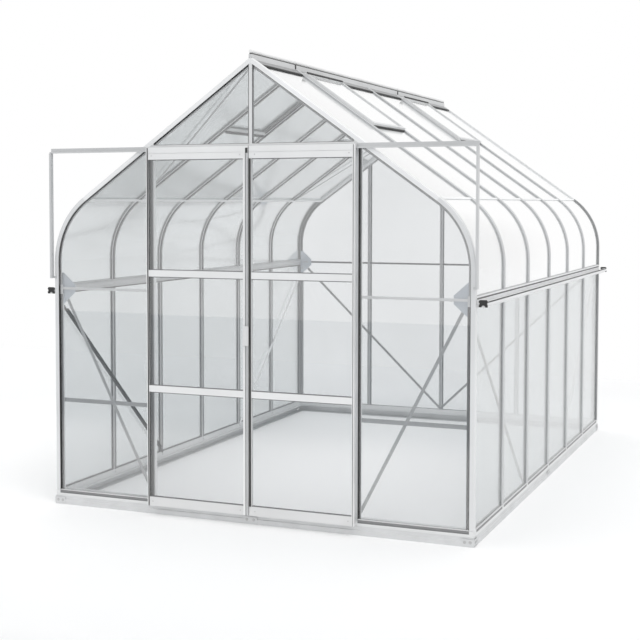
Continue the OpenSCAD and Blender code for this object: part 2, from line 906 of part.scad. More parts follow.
module roof_panes() {
  from = bar_web / 4 + edge_gap;
  color(glass) house() both_sides()
    for (i = [0 : side_bays - 1]) {
      y0 = pane_start(i) + edge_gap;
      y1 = pane_stop(i) - edge_gap;
      vented = len(search(i, vent_bays)) > 0;
      upto = vented ? vent_from - from : rafter_l;
      slope_block(from, upto, (y0 + y1) / 2, y1 - y0, -glass_in - glass_t, -glass_in);
    }
}

// Panes of the front: one beside each door post and two in the gable over the doors.
module front_panes() {
  x0 = jamb_x + door_post_lip - rebate + edge_gap;
  color(glass) house() both_sides()
    gable_plate(glass_in, glass_t)
      intersection() {
        union() {
          area(x0, glass_z, wall_x, peak_z);
          area(bar_web / 2 + edge_gap, header_top - rebate + edge_gap, jamb_x - edge_gap, peak_z);
        }
        gable_area(post_slot + edge_gap);
      }
}

module rear_panes() {
  half = bar_web / 2 + edge_gap;
  color(glass) house() mirror([0, 1, 0]) both_sides()
    gable_plate(glass_in, glass_t)
      intersection() {
        union() {
          area(half, glass_z, bay - half, peak_z);
          area(bay + half, glass_z, wall_x, peak_z);
        }
        gable_area(post_slot + edge_gap);
      }
}

// Vents: a frame on the bars, its pane, and a tongue under the ridge cap.

module vent_frames() {
  color(pale_metal) house() both_sides()
    for (i = vent_bays) {
      y = (i + 0.5) * bay - grid_y;
      w = bay - bar_w - 2 * vent_gap;
      inner = w - 2 * vent_rail;
      v0 = cross_t - cap_t;
      difference() {
        slope_block(vent_from - vent_rail / 2, vent_end, y, w, v0, v0 + vent_d);
        slope_block(vent_from + vent_rail / 2, vent_end - vent_rail, y, inner, v0 - vent_d, v0 + 2 * vent_d);
        vent_glass(y, edge_gap, glass_gap);
      }
      slope_block(vent_end - vent_rail / 4, vent_end + vent_tongue, y, inner, v0, 0);
    }
}

// Space of a vent's pane, grown at the edges and at the faces.
module vent_glass(y, edge, face) {
  w = bay - bar_w - 2 * vent_gap - 2 * vent_rail + 2 * rebate;
  v = cross_t - cap_t + vent_d / 2 - glass_t / 2;
  slope_block(vent_from + vent_rail / 2 - rebate - edge, vent_end - vent_rail + rebate + edge,
              y, w + 2 * edge, v - face, v + glass_t + face);
}

module vent_panes() {
  color(glass) house() both_sides()
    for (i = vent_bays) vent_glass((i + 0.5) * bay - grid_y, 0, 0);
}

// Doors. Each is drawn from its meeting edge outward, w wide.

module on_right() {
  translate([meet_x + door_gap / 2, -door_front, door_clear]) children();
}

module on_left() {
  mirror([1, 0, 0])
    translate([door_gap / 2 - meet_x, -door_front, door_clear]) children();
}

// Spaces of a door's panes, grown at the edges and at the faces.
module door_glass(w, meet_w, edge, face) {
  deep = (door_t - glass_t) / 2;
  x0 = meet_w - stile_in - edge;
  x1 = w - stile_w + stile_in + edge;
  for (k = [0 : len(pane_feet) - 1])
    translate([x0, deep - face, pane_feet[k] - rebate - edge])
      cube([x1 - x0, glass_t + 2 * face, pane_tops[k] - pane_feet[k] + 2 * (rebate + edge)]);
}

// Outer stile over the whole height, meeting stile from foot to top.
module door_stiles(w, meet_w, foot, top) {
  difference() {
    union() {
      translate([0, 0, foot]) cube([meet_w, door_t, top - foot]);
      translate([w - stile_w, 0, 0]) cube([stile_w, door_t, door_h]);
    }
    door_glass(w, meet_w, edge_gap, glass_gap);
  }
}

// Four rails; the top and the bottom one start at x0.
module door_rails(w, meet_w, x0) {
  deep = door_t - rail_set;
  difference() {
    union() {
      for (z = [[0, bottom_rail], [door_h - top_rail, top_rail]])
        translate([x0, rail_set, z[0]]) cube([w - stile_w - x0, deep, z[1]]);
      for (z = [mid_low, mid_high])
        translate([meet_w, rail_set, z]) cube([w - stile_w - meet_w, deep, mid_rail]);
    }
    translate([-w, 0, door_h - (top_rail + rail_groove) / 2])
      cube([3 * w, rail_set + rail_groove, rail_groove]);
    door_glass(w, meet_w, edge_gap, glass_gap);
  }
}

// Rollers in the track, each on an axle in the top rail, and guide blocks at the foot.
module door_runners(w) {
  for (x = [roller_in, w - roller_in]) {
    translate([x, door_t, roller_z - door_clear])
      rotate([-90, 0, 0]) {
        cylinder(r = axle_r, h = run_gap + track_d / 2);
        translate([0, 0, run_gap + (track_d - roller_w) / 2])
          cylinder(r = roller_r, h = roller_w);
      }
    translate([x - guide_l / 2, door_t, 0])
      cube([guide_l, run_gap + track_d - guide_gap, guide_h]);
  }
}

module left_door_stiles() {
  color(pale_metal) house() on_left() door_stiles(left_w, left_meet_w, 0, door_h);
}

module left_door_rails() {
  color(pale_metal) house() on_left() door_rails(left_w, left_meet_w, left_meet_w);
}

module left_door_panes() {
  color(glass) house() on_left() door_glass(left_w, left_meet_w, 0, 0);
}

module left_door_runners() {
  color(black) house() on_left() door_runners(left_w);
}

module right_door_stiles() {
  color(pale_metal) house() on_right()
    door_stiles(right_w, right_meet_w, bottom_rail, door_h - top_rail);
}

module right_door_rails() {
  color(pale_metal) house() on_right() door_rails(right_w, right_meet_w, 0);
}

module right_door_panes() {
  color(glass) house() on_right() door_glass(right_w, right_meet_w, 0, 0);
}

module right_door_runners() {
  color(black) house() on_right() door_runners(right_w);
}

// Pull handle on the left door's meeting stile: a foot and a wide grip that stands off.
module door_handle() {
  color(white) house() on_left()
    translate([0, -handle_gap, handle_at]) {
      translate([(left_meet_w - handle_foot) / 2, 0, handle_foot])
        cube([handle_foot, handle_gap, handle_h - 2 * handle_foot]);
      translate([-handle_over, -handle_t, 0]) cube([handle_w, handle_t, handle_h]);
    }
}

base_ends();
base_sides();
base_plates();
end_sills();
side_sills();
corner_posts();
side_wall_bars();
eave_beams();
gutters();
gutter_caps();
end_arches();
eave_arches();
end_rafters();
rafters();
ridge_beam();
ridge_cap();
roof_cross_bars();
door_posts();
rear_wall_bars();
gable_bar();
front_header();
front_cross_bars();
gable_eave_bars();
gussets();
gable_braces();
side_braces();
roof_braces();
door_track();
track_struts();
wall_panes();
eave_panes();
roof_panes();
front_panes();
rear_panes();
vent_frames();
vent_panes();
left_door_stiles();
left_door_rails();
left_door_panes();
left_door_runners();
right_door_stiles();
right_door_rails();
right_door_panes();
right_door_runners();
door_handle();
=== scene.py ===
import math

import bmesh
import bpy
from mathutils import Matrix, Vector


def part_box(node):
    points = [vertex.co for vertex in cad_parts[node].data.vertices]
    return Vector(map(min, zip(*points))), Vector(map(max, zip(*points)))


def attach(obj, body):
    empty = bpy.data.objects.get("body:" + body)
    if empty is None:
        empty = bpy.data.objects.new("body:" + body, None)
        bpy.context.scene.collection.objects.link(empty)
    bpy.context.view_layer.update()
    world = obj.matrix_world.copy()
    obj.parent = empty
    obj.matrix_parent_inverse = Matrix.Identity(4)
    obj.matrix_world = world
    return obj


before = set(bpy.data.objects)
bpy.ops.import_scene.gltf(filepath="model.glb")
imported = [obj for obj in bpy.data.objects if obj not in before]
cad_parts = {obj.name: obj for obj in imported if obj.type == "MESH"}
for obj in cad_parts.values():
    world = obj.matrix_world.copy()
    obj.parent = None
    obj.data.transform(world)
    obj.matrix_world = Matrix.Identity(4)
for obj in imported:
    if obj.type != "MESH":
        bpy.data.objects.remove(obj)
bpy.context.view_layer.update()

# Sizes of the greenhouse in metres

# Lines are laid in the house's own frame, whose middle lies HOUSE_Y behind the part's middle
HOUSE_Y = 0.029
BAY = 0.628
BAYS = 6
GRID_Y = BAYS * BAY / 2
BAR_LINES = [i * BAY - GRID_Y for i in range(1, BAYS)]
WALL_X = 1.274
GABLE_Y = 1.900
BASE_X = 1.277
BASE_Y = 1.906
BASE_PLATE = 0.002
SILL_Z = 0.084
EAVE_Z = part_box("eave_beams")[0].z
EAVE_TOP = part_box("eave_beams")[1].z

# Curved eave and slope of the roof

EAVE_R = 0.466
EAVE_UPRIGHT = 0.135
PITCH = math.radians(35.5)
COS_P, SIN_P, TAN_P = math.cos(PITCH), math.sin(PITCH), math.tan(PITCH)
ARC_X = WALL_X - EAVE_R
ARC_TURN = math.pi / 2 - PITCH
ARC_STEPS = 26
SPRING_Z = EAVE_TOP + EAVE_UPRIGHT
JOINT_X = ARC_X + EAVE_R * math.cos(ARC_TURN)
JOINT_Z = SPRING_Z + EAVE_R * math.sin(ARC_TURN)
PEAK_Z = JOINT_Z + JOINT_X * TAN_P

# Bars, posts and glass

BAR_D = 0.026
BAR_HALF = 0.015
FLANGE_HALF = 0.010
END_BAR = 0.030
POST_SIDE = 0.038
POST_LEG = 0.046
JAMB_X = 0.606
POST_LIP_X = 0.632
POST_LEG_X = 0.646
GABLE_BAR_HALF = 0.011
HEADER_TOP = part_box("front_header")[1].z
EAVE_BAR_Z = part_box("gable_eave_bars")[0].z
GLASS_T = 0.004
GLASS_OUT = 0.0095
GLASS_IN = GLASS_OUT + GLASS_T

# Ridge cap and vents

RIDGE_WEB_HALF = 0.006
RIDGE_L = (JOINT_X - BAR_D * SIN_P - RIDGE_WEB_HALF) / COS_P
CAP_REACH = 0.052
CAP_HALF = 0.010
CAP_JOINTS_Y = (-1.277, 0.669)
SKIRT_DROP, GROOVE_RISE, CREST_RISE = 0.0135, 0.014, 0.0225
SKIRT_TOP_Z = PEAK_Z - SKIRT_DROP
GROOVE_Z = PEAK_Z + GROOVE_RISE
CREST_Z = PEAK_Z + CREST_RISE
SKIRT_S = (JOINT_X - CAP_REACH) / COS_P
VENT_BAYS = (1, 4)
VENT_GAP = 0.004
VENT_FACE = -0.013
VENT_S = 0.728
VENT_END_S = (JOINT_X - CAP_REACH - VENT_GAP) / COS_P

# Doors

DOOR_FRONT = 1.950
DOOR_GLASS = 0.010
DOOR_FOOT = 0.057
DOOR_HEAD = 2.100
MEETING_HEAD = 2.090
PANE_Z = ((0.109, 0.714), (0.751, 1.373), (1.410, 2.034))
PANES_FOOT, PANES_HEAD = PANE_Z[0][0], PANE_Z[-1][1]
LEFT_PANES_X = (-0.615, -0.023)
RIGHT_PANES_X = (0.026, 0.615)


# Materials

NOISE_CORE = (0.3, 0.7)
CLOUD_DETAIL, GRAIN_DETAIL = 4.0, 2.0
GRAIN_SCALE, GRAIN_BUMP, GRAIN_HEIGHT = 260.0, 0.05, 0.0006
FILM_SCALE, SMEAR_SCALE = 1.1, 7.0
FILM_SPREAD = 0.01
MIRROR_TONE = 0.99
LOW_ANGLE = (0.1, 0.5)


def shader(name):
    """New material with empty nodes; returns it with its tree and output."""
    mat = bpy.data.materials.new(name)
    mat.use_nodes = True
    tree = mat.node_tree
    tree.nodes.clear()
    return mat, tree, tree.nodes.new("ShaderNodeOutputMaterial")


def object_noise(tree, scale, detail=3.0):
    """Noise in the object's own coordinates."""
    coords = tree.nodes.new("ShaderNodeTexCoord")
    noise = tree.nodes.new("ShaderNodeTexNoise")
    noise.inputs["Scale"].default_value = scale
    noise.inputs["Detail"].default_value = detail
    tree.links.new(coords.outputs["Object"], noise.inputs["Vector"])
    return noise.outputs["Fac"]


def remap(tree, value, low, high):
    """Value from the middle of a noise spread over low to high."""
    node = tree.nodes.new("ShaderNodeMapRange")
    node.inputs["From Min"].default_value = NOISE_CORE[0]
    node.inputs["From Max"].default_value = NOISE_CORE[1]
    node.inputs["To Min"].default_value = low
    node.inputs["To Max"].default_value = high
    tree.links.new(value, node.inputs["Value"])
    return node.outputs["Result"]


def blend_colour(tree, factor, first, second):
    """Colour between two given ones."""
    node = tree.nodes.new("ShaderNodeMix")
    node.data_type = "RGBA"
    node.inputs["A"].default_value = (*first, 1)
    node.inputs["B"].default_value = (*second, 1)
    tree.links.new(factor, node.inputs["Factor"])
    return node.outputs["Result"]


def product(tree, shade):
    """Node that multiplies its colour A by a shade."""
    node = tree.nodes.new("ShaderNodeMix")
    node.data_type = "RGBA"
    node.blend_type = "MULTIPLY"
    node.inputs["Factor"].default_value = 1.0
    tree.links.new(shade, node.inputs["B"])
    return node


def grey(value, blue=0.0):
    """Grey that leans to blue by a little."""
    return (value - blue, value, value + blue)


def banded(tree, axis, colour, bands):
    """Colour along one axis of the object: a first tone, then a new one from each place on."""
    coords = tree.nodes.new("ShaderNodeTexCoord")
    split = tree.nodes.new("ShaderNodeSeparateXYZ")
    tree.links.new(coords.outputs["Object"], split.inputs["Vector"])
    tone = None
    for start, upper in bands:
        above = tree.nodes.new("ShaderNodeMath")
        above.operation = "GREATER_THAN"
        above.inputs[1].default_value = start
        tree.links.new(split.outputs[axis], above.inputs[0])
        mixed = blend_colour(tree, above.outputs[0], colour, upper)
        if tone is not None:
            tree.links.new(tone, mixed.node.inputs["A"])
        tone = mixed
    return tone


def finish(name, colour, metallic, rough, cloud=2.5, spread=0.05, axis="Z", bands=()):
    """Metal, rubber or plastic with cloudy tone, uneven sheen and a fine grain."""
    mat, tree, out = shader(name)
    body = tree.nodes.new("ShaderNodeBsdfPrincipled")
    cloudy = object_noise(tree, cloud, CLOUD_DETAIL)
    fine = object_noise(tree, GRAIN_SCALE, GRAIN_DETAIL)
    shade = blend_colour(tree, remap(tree, cloudy, 0.0, 1.0), grey(1 - spread), grey(1 + spread))
    tone = product(tree, shade)
    tone.inputs["A"].default_value = (*colour, 1)
    if bands:
        tree.links.new(banded(tree, axis, colour, bands), tone.inputs["A"])
    tree.links.new(tone.outputs["Result"], body.inputs["Base Color"])
    tree.links.new(remap(tree, fine, *rough), body.inputs["Roughness"])
    body.inputs["Metallic"].default_value = metallic
    bumps = tree.nodes.new("ShaderNodeBump")
    bumps.inputs["Strength"].default_value = GRAIN_BUMP
    bumps.inputs["Distance"].default_value = GRAIN_HEIGHT
    tree.links.new(fine, bumps.inputs["Height"])
    tree.links.new(bumps.outputs["Normal"], body.inputs["Normal"])
    tree.links.new(body.outputs["BSDF"], out.inputs["Surface"])
    return mat


def mirrored_share(tree, facing, start, growth, power):
    """Share of mirrored light, growing from start as the view gets lower."""
    steep = tree.nodes.new("ShaderNodeMath")
    steep.operation = "POWER"
    steep.inputs[1].default_value = power
    tree.links.new(facing, steep.inputs[0])
    share = tree.nodes.new("ShaderNodeMath")
    share.operation = "MULTIPLY_ADD"
    share.use_clamp = True
    share.inputs[1].default_value = growth
    share.inputs[2].default_value = start
    tree.links.new(steep.outputs[0], share.inputs[0])
    return share.outputs[0]


def pane_glass(name, face_on, edge_on, mirrors, rough):
    """Thin clear glass: see-through that is darker and mirrors more at low angles.

    The mirrored share is (start, growth, power) over the angle."""
    mat, tree, out = shader(name)
    weight = tree.nodes.new("ShaderNodeLayerWeight")
    weight.inputs["Blend"].default_value = 0.5
    facing = weight.outputs["Facing"]
    film = blend_colour(tree, remap(tree, object_noise(tree, FILM_SCALE), 0.0, 1.0),
                        grey(1 - FILM_SPREAD), grey(1 + FILM_SPREAD))
    tint = product(tree, film)
    low_angle = tree.nodes.new("ShaderNodeMapRange")
    low_angle.inputs["From Min"].default_value = LOW_ANGLE[0]
    low_angle.inputs["From Max"].default_value = LOW_ANGLE[1]
    tree.links.new(facing, low_angle.inputs["Value"])
    tree.links.new(blend_colour(tree, low_angle.outputs["Result"], face_on, edge_on), tint.inputs["A"])
    through = tree.nodes.new("ShaderNodeBsdfTransparent")
    tree.links.new(tint.outputs["Result"], through.inputs["Color"])
    mirror = tree.nodes.new("ShaderNodeBsdfPrincipled")
    mirror.inputs["Base Color"].default_value = (*grey(MIRROR_TONE), 1)
    mirror.inputs["Metallic"].default_value = 1.0
    smear = object_noise(tree, SMEAR_SCALE)
    tree.links.new(remap(tree, smear, *rough), mirror.inputs["Roughness"])
    mix = tree.nodes.new("ShaderNodeMixShader")
    tree.links.new(mirrored_share(tree, facing, *mirrors), mix.inputs["Fac"])
    tree.links.new(through.outputs["BSDF"], mix.inputs[1])
    tree.links.new(mirror.outputs["BSDF"], mix.inputs[2])
    tree.links.new(mix.outputs["Shader"], out.inputs["Surface"])
    return mat


SATIN = (0.34, 0.48)
DULL = (0.38, 0.52)
SOFT = (0.48, 0.64)
POST_FACE_T = 0.0015
FOOT_RAIL_TOP = 0.12
MIDDLE = 0.0

# Aluminium of the CAD nodes; a second tone starts at a place along an axis
bar_metal = finish("bar_aluminium", grey(0.56, 0.008), 0.55, SATIN)
# Door posts: the front 1.5 mm, which sits behind the doors, stays darker than the rest of the post; this is
# painted shade
door_post_metal = finish("door_post_aluminium", grey(0.66, 0.006), 0.35, SATIN, axis="Y", bands=(
    (HOUSE_Y - GABLE_Y + POST_FACE_T, grey(0.88, 0.004)),))
# Corner posts and end arches: the rear half is painted dark, which is painted shade on the parts seen from
# inside
post_metal = finish("post_aluminium", grey(0.72, 0.006), 0.40, SATIN, axis="Y", bands=(
    (MIDDLE, grey(0.31, 0.004)),))
rafter_metal = finish("end_rafter_aluminium", grey(0.83, 0.004), 0.25, SATIN)
pale_metal = finish("pale_aluminium", grey(0.74, 0.004), 0.35, SATIN)
door_metal = finish("door_aluminium", grey(0.79, 0.002), 0.25, SATIN)
door_rail_metal = finish("door_rail_aluminium", grey(0.68, 0.002), 0.25, SATIN, bands=(
    (FOOT_RAIL_TOP, grey(0.79, 0.002)),))
# A lighter aluminium tone that paints light on the roof cross bars, the eave beams and the rear brace legs,
# lifting them where they fall in shade
slope_bar_metal = finish("roof_cross_bar_aluminium", grey(0.90, 0.004), 0.20, SATIN)
# Vent frames: the left half of the roof is painted darker than the right, which is painted shade
vent_metal = finish("vent_frame_aluminium", grey(0.32, 0.004), 0.30, SATIN, axis="X", bands=(
    (MIDDLE, grey(0.74, 0.004)),))
track_metal = finish("track_aluminium", grey(0.60, 0.006), 0.45, SATIN)
# Ridge cap painted in bands by height: the darker lip below the skirt and the near black groove are painted
# shade, and the lighter crest on top is painted light
ridge_metal = finish("ridge_aluminium", grey(0.33, 0.004), 0.35, SATIN, bands=(
    (SKIRT_TOP_Z, grey(0.63, 0.004)), (GROOVE_Z, grey(0.09)), (CREST_Z, grey(0.84))))
# Gable eave bars: the rear one is painted near black, which is painted shade
eave_bar_metal = finish("gable_eave_bar_aluminium", grey(0.74, 0.004), 0.35, SATIN, axis="Y", bands=(
    (MIDDLE, grey(0.15, 0.004)),))

# Zinc of the base, braces and gussets
# Gable braces: the rear ones are painted darker than the front ones, which is painted shade
gable_brace = finish("gable_brace_zinc", grey(0.40, 0.006), 0.45, SATIN, 6.0, axis="Y", bands=(
    (MIDDLE, grey(0.30, 0.004)),))
# Side braces: the front ones are painted near black, which is painted shade, and the rear ones near white,
# which is painted light
side_brace = finish("side_brace_zinc", grey(0.06, 0.002), 0.30, SATIN, 6.0, axis="Y", bands=(
    (MIDDLE, grey(0.92, 0.004)),))
roof_brace = finish("roof_brace_zinc", grey(0.45, 0.004), 0.40, SATIN, 6.0)
cross_metal = finish("cross_bar_zinc", grey(0.37, 0.006), 0.40, SATIN, 6.0)
base_metal = finish("base_zinc", grey(0.64, 0.006), 0.45, DULL, 9.0)
gusset_metal = finish("gusset_zinc", (0.56, 0.60, 0.645), 0.35, SATIN, 7.0)
# Brace legs: near black on the left half and grey on the right half, which is painted shade
brace_leg_metal = finish("brace_leg_zinc", grey(0.045, 0.002), 0.30, SATIN, 6.0, axis="X", bands=(
    (MIDDLE, grey(0.30, 0.003)),))
bolt_steel = finish("bolt_steel", grey(0.50), 0.60, SATIN, 40.0, 0.10)

# Strips on faces and sides of the bars, sills and eaves
flange_metal = finish("bar_flange_aluminium", grey(0.48, 0.005), 0.30, SATIN)
# Dark tone laid on the bars' inner faces, which is painted shade
face_metal = finish("bar_face_aluminium", grey(0.26, 0.004), 0.30, SATIN)
# Flange sides: the left half of the house is painted dark, which is painted shade
liner_metal = finish("bar_liner_aluminium", grey(0.60, 0.003), 0.20, SATIN, axis="X", bands=(
    (MIDDLE, grey(0.20, 0.002)),))
# Roof bar sides: near black on the left half, which is painted shade, and near white on the right half, which
# is painted light
roof_side_metal = finish("roof_bar_side_aluminium", grey(0.92, 0.003), 0.20, SATIN, axis="X", bands=(
    (MIDDLE, grey(0.16, 0.002)),))
# Dark strips along the roof bars' lower edges, which is painted shade
roof_edge_metal = finish("roof_bar_edge_aluminium", grey(0.13, 0.002), 0.20, SATIN)
# Vent sills: the left half is painted dark, which is painted shade
vent_sill_metal = finish("vent_sill_aluminium", grey(0.13, 0.003), 0.30, SATIN, axis="X", bands=(
    (MIDDLE, grey(0.80, 0.003)),))
band_metal = finish("inner_band_aluminium", grey(0.22, 0.003), 0.20, SATIN)
eave_metal = finish("eave_band_aluminium", grey(0.60, 0.003), 0.25, SATIN)

# Rubber and plastic
rubber = finish("seal_rubber", grey(0.035), 0.0, SOFT, 12.0, 0.15)
grey_rubber = finish("seal_grey_rubber", grey(0.14), 0.0, SOFT, 12.0, 0.08)
black_plastic = finish("black_plastic", grey(0.024), 0.0, DULL, 12.0, 0.15)
white_plastic = finish("white_plastic", grey(0.66), 0.0, SATIN, 15.0)

# Glass: tint face-on and edge-on, mirrored share, roughness
front_glass = pane_glass("front_glass", (0.984, 0.984, 0.986), (0.81, 0.82, 0.825),
                         (0.10, 0.88, 3.0), (0.002, 0.012))
wall_glass = pane_glass("wall_glass", (0.962, 0.965, 0.967), (0.832, 0.848, 0.852),
                        (0.05, 0.86, 3.0), (0.24, 0.26))
rear_glass = pane_glass("rear_glass", (0.888, 0.898, 0.903), (0.81, 0.83, 0.835),
                        (0.05, 0.94, 3.0), (0.12, 0.15))
curved_glass = pane_glass("curved_glass", (0.962, 0.967, 0.970), (0.83, 0.848, 0.852),
                          (0.05, 1.95, 3.27), (0.11, 0.14))
roof_glass = pane_glass("roof_glass", (0.962, 0.967, 0.970), (0.73, 0.755, 0.76),
                        (0.05, 2.0, 5.0), (0.11, 0.14))

NODE_FINISH = {
    bar_metal: ("side_wall_bars", "eave_arches", "rafters", "ridge_beam", "rear_wall_bars"),
    door_post_metal: ("door_posts",),
    post_metal: ("corner_posts", "end_arches"),
    rafter_metal: ("end_rafters",),
    # The roof cross bars and eave beams take this lighter tone as painted light
    slope_bar_metal: ("roof_cross_bars", "eave_beams"),
    vent_metal: ("vent_frames",),
    pale_metal: ("end_sills", "side_sills", "gutters", "front_header", "gable_bar"),
    door_metal: ("left_door_stiles", "right_door_stiles"),
    door_rail_metal: ("left_door_rails", "right_door_rails"),
    track_metal: ("door_track", "track_struts"),
    ridge_metal: ("ridge_cap",),
    gable_brace: ("gable_braces",),
    side_brace: ("side_braces",),
    roof_brace: ("roof_braces",),
    cross_metal: ("front_cross_bars",),
    eave_bar_metal: ("gable_eave_bars",),
    base_metal: ("base_ends", "base_sides", "base_plates"),
    gusset_metal: ("gussets",),
    black_plastic: ("gutter_caps", "left_door_runners", "right_door_runners"),
    white_plastic: ("door_handle",),
    front_glass: ("front_panes", "left_door_panes", "right_door_panes"),
    wall_glass: ("wall_panes",),
    rear_glass: ("rear_panes",),
    curved_glass: ("eave_panes",),
    roof_glass: ("roof_panes", "vent_panes"),
}
for mat, names in NODE_FINISH.items():
    for name in names:
        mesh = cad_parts[name].data
        mesh.materials.clear()
        mesh.materials.append(mat)


# Trees that sweep lines to flat strips and set bolt heads on points

NORMAL = "face_direction"
HEX_SIDES, WASHER_SIDES = 6, 20
WASHER_SHARE = 0.5


def node_tree(name, inputs):
    """Geometry-node tree with named inputs; returns it, its ends and the input names."""
    tree = bpy.data.node_groups.new(name, "GeometryNodeTree")
    tree.interface.new_socket("Geometry", in_out="OUTPUT", socket_type="NodeSocketGeometry")
    tree.interface.new_socket("Geometry", in_out="INPUT", socket_type="NodeSocketGeometry")
    keys = {}
    for label, kind in inputs:
        socket = tree.interface.new_socket(label, in_out="INPUT", socket_type=kind)
        keys[label] = socket.identifier
    return tree, tree.nodes.new("NodeGroupInput"), tree.nodes.new("NodeGroupOutput"), keys


def named_direction(tree):
    """The face direction that each point of a line carries."""
    node = tree.nodes.new("GeometryNodeInputNamedAttribute")
    node.data_type = "FLOAT_VECTOR"
    node.inputs["Name"].default_value = NORMAL
    return node.outputs["Attribute"]


def end_of_tree(tree, geometry, start, end):
    """Realizes the instances, sets the material and closes the tree."""
    real = tree.nodes.new("GeometryNodeRealizeInstances")
    paint = tree.nodes.new("GeometryNodeSetMaterial")
    tree.links.new(geometry, real.inputs[0])
    tree.links.new(real.outputs[0], paint.inputs["Geometry"])
    tree.links.new(start.outputs["Finish"], paint.inputs["Material"])
    tree.links.new(paint.outputs[0], end.inputs[0])


def strip_tree():
    """Tree that sweeps a flat profile along lines, turned to their face directions."""
    tree, start, end, keys = node_tree("swept_strips", [
        ("Strip width", "NodeSocketFloat"), ("Strip depth", "NodeSocketFloat"),
        ("Finish", "NodeSocketMaterial"),
    ])
    curve = tree.nodes.new("GeometryNodeMeshToCurve")
    turn = tree.nodes.new("GeometryNodeSetCurveNormal")
    turn.mode = "FREE"
    profile = tree.nodes.new("GeometryNodeCurvePrimitiveQuadrilateral")
    sweep = tree.nodes.new("GeometryNodeCurveToMesh")
    sweep.inputs["Fill Caps"].default_value = True
    tree.links.new(start.outputs["Geometry"], curve.inputs["Mesh"])
    tree.links.new(curve.outputs["Curve"], turn.inputs["Curve"])
    tree.links.new(named_direction(tree), turn.inputs["Normal"])
    tree.links.new(start.outputs["Strip depth"], profile.inputs["Width"])
    tree.links.new(start.outputs["Strip width"], profile.inputs["Height"])
    tree.links.new(turn.outputs["Curve"], sweep.inputs["Curve"])
    tree.links.new(profile.outputs["Curve"], sweep.inputs["Profile Curve"])
    end_of_tree(tree, sweep.outputs["Mesh"], start, end)
    return tree, keys


def bolt_tree():
    """Tree that sets a hexagon head on a washer at each point."""
    tree, start, end, keys = node_tree("bolt_heads", [
        ("Head radius", "NodeSocketFloat"), ("Head height", "NodeSocketFloat"),
        ("Washer radius", "NodeSocketFloat"), ("Finish", "NodeSocketMaterial"),
    ])
    head = tree.nodes.new("GeometryNodeMeshCylinder")
    head.inputs["Vertices"].default_value = HEX_SIDES
    washer = tree.nodes.new("GeometryNodeMeshCylinder")
    washer.inputs["Vertices"].default_value = WASHER_SIDES
    both = tree.nodes.new("GeometryNodeJoinGeometry")
    thin = tree.nodes.new("ShaderNodeMath")
    thin.operation = "MULTIPLY"
    thin.inputs[1].default_value = WASHER_SHARE
    place = tree.nodes.new("GeometryNodeInstanceOnPoints")
    turn = tree.nodes.new("FunctionNodeAlignRotationToVector")
    turn.axis = "Z"
    tree.links.new(start.outputs["Head radius"], head.inputs["Radius"])
    tree.links.new(start.outputs["Head height"], head.inputs["Depth"])
    tree.links.new(start.outputs["Washer radius"], washer.inputs["Radius"])
    tree.links.new(start.outputs["Head height"], thin.inputs[0])
    tree.links.new(thin.outputs[0], washer.inputs["Depth"])
    tree.links.new(head.outputs["Mesh"], both.inputs[0])
    tree.links.new(washer.outputs["Mesh"], both.inputs[0])
    tree.links.new(named_direction(tree), turn.inputs["Vector"])
    tree.links.new(start.outputs["Geometry"], place.inputs["Points"])
    tree.links.new(both.outputs[0], place.inputs["Instance"])
    tree.links.new(turn.outputs["Rotation"], place.inputs["Rotation"])
    end_of_tree(tree, place.outputs["Instances"], start, end)
    return tree, keys


STRIPS, STRIP_KEYS = strip_tree()
BOLTS, BOLT_KEYS = bolt_tree()


def line_mesh(lines):
    """Mesh of open lines; each line is its points and the face direction at each point."""
    verts, edges, facing = [], [], []
    for points, normals in lines:
        first = len(verts)
        verts += [Vector(p) + Vector((0, HOUSE_Y, 0)) for p in points]
        facing += [Vector(n) for n in normals]
        edges += [(k, k + 1) for k in range(first, len(verts) - 1)]
    mesh = bpy.data.meshes.new("lines")
    mesh.from_pydata(verts, edges, [])
    mesh.attributes.new(NORMAL, "FLOAT_VECTOR", "POINT")
    for item, n in zip(mesh.attributes[NORMAL].data, facing):
        item.vector = n
    return mesh


def grown(mesh, tree, keys, values):
    """Plain mesh that the tree makes from the given lines or points."""
    work = bpy.data.objects.new("work", mesh)
    bpy.context.scene.collection.objects.link(work)
    modifier = work.modifiers.new("grow", "NODES")
    modifier.node_group = tree
    for label, value in values.items():
        modifier[keys[label]] = value
    seen = work.evaluated_get(bpy.context.evaluated_depsgraph_get())
    made = bpy.data.meshes.new_from_object(seen)
    bpy.data.objects.remove(work)
    bpy.data.meshes.remove(mesh)
    return made


def strips(lines, width, depth, mat):
    """Flat strips along lines."""
    return grown(line_mesh(lines), STRIPS, STRIP_KEYS, {
        "Strip width": width, "Strip depth": depth, "Finish": mat,
    })


def bolts(places, radius, height, washer_share):
    """Bolt heads at places, each a point and the direction that it faces."""
    lines = [([p], [n]) for p, n in places]
    return grown(line_mesh(lines), BOLTS, BOLT_KEYS, {
        "Head radius": radius, "Head height": height,
        "Washer radius": radius * washer_share, "Finish": bolt_steel,
    })


def piece(name, body, mat, meshes):
    """One object from several meshes, with outward normals, riding on a body."""
    whole = bmesh.new()
    for mesh in meshes:
        whole.from_mesh(mesh)
        bpy.data.meshes.remove(mesh)
    bmesh.ops.recalc_face_normals(whole, faces=whole.faces)
    data = bpy.data.meshes.new(name)
    whole.to_mesh(data)
    whole.free()
    for attribute in [a.name for a in data.attributes if a.name == NORMAL]:
        data.attributes.remove(data.attributes[attribute])
    data.materials.clear()
    data.materials.append(mat)
    for face in data.polygons:
        face.material_index = 0
    obj = bpy.data.objects.new(name, data)
    bpy.context.scene.collection.objects.link(obj)
    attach(obj, body)


# Lines on the right-hand half of the house; pieces take their mirror images too

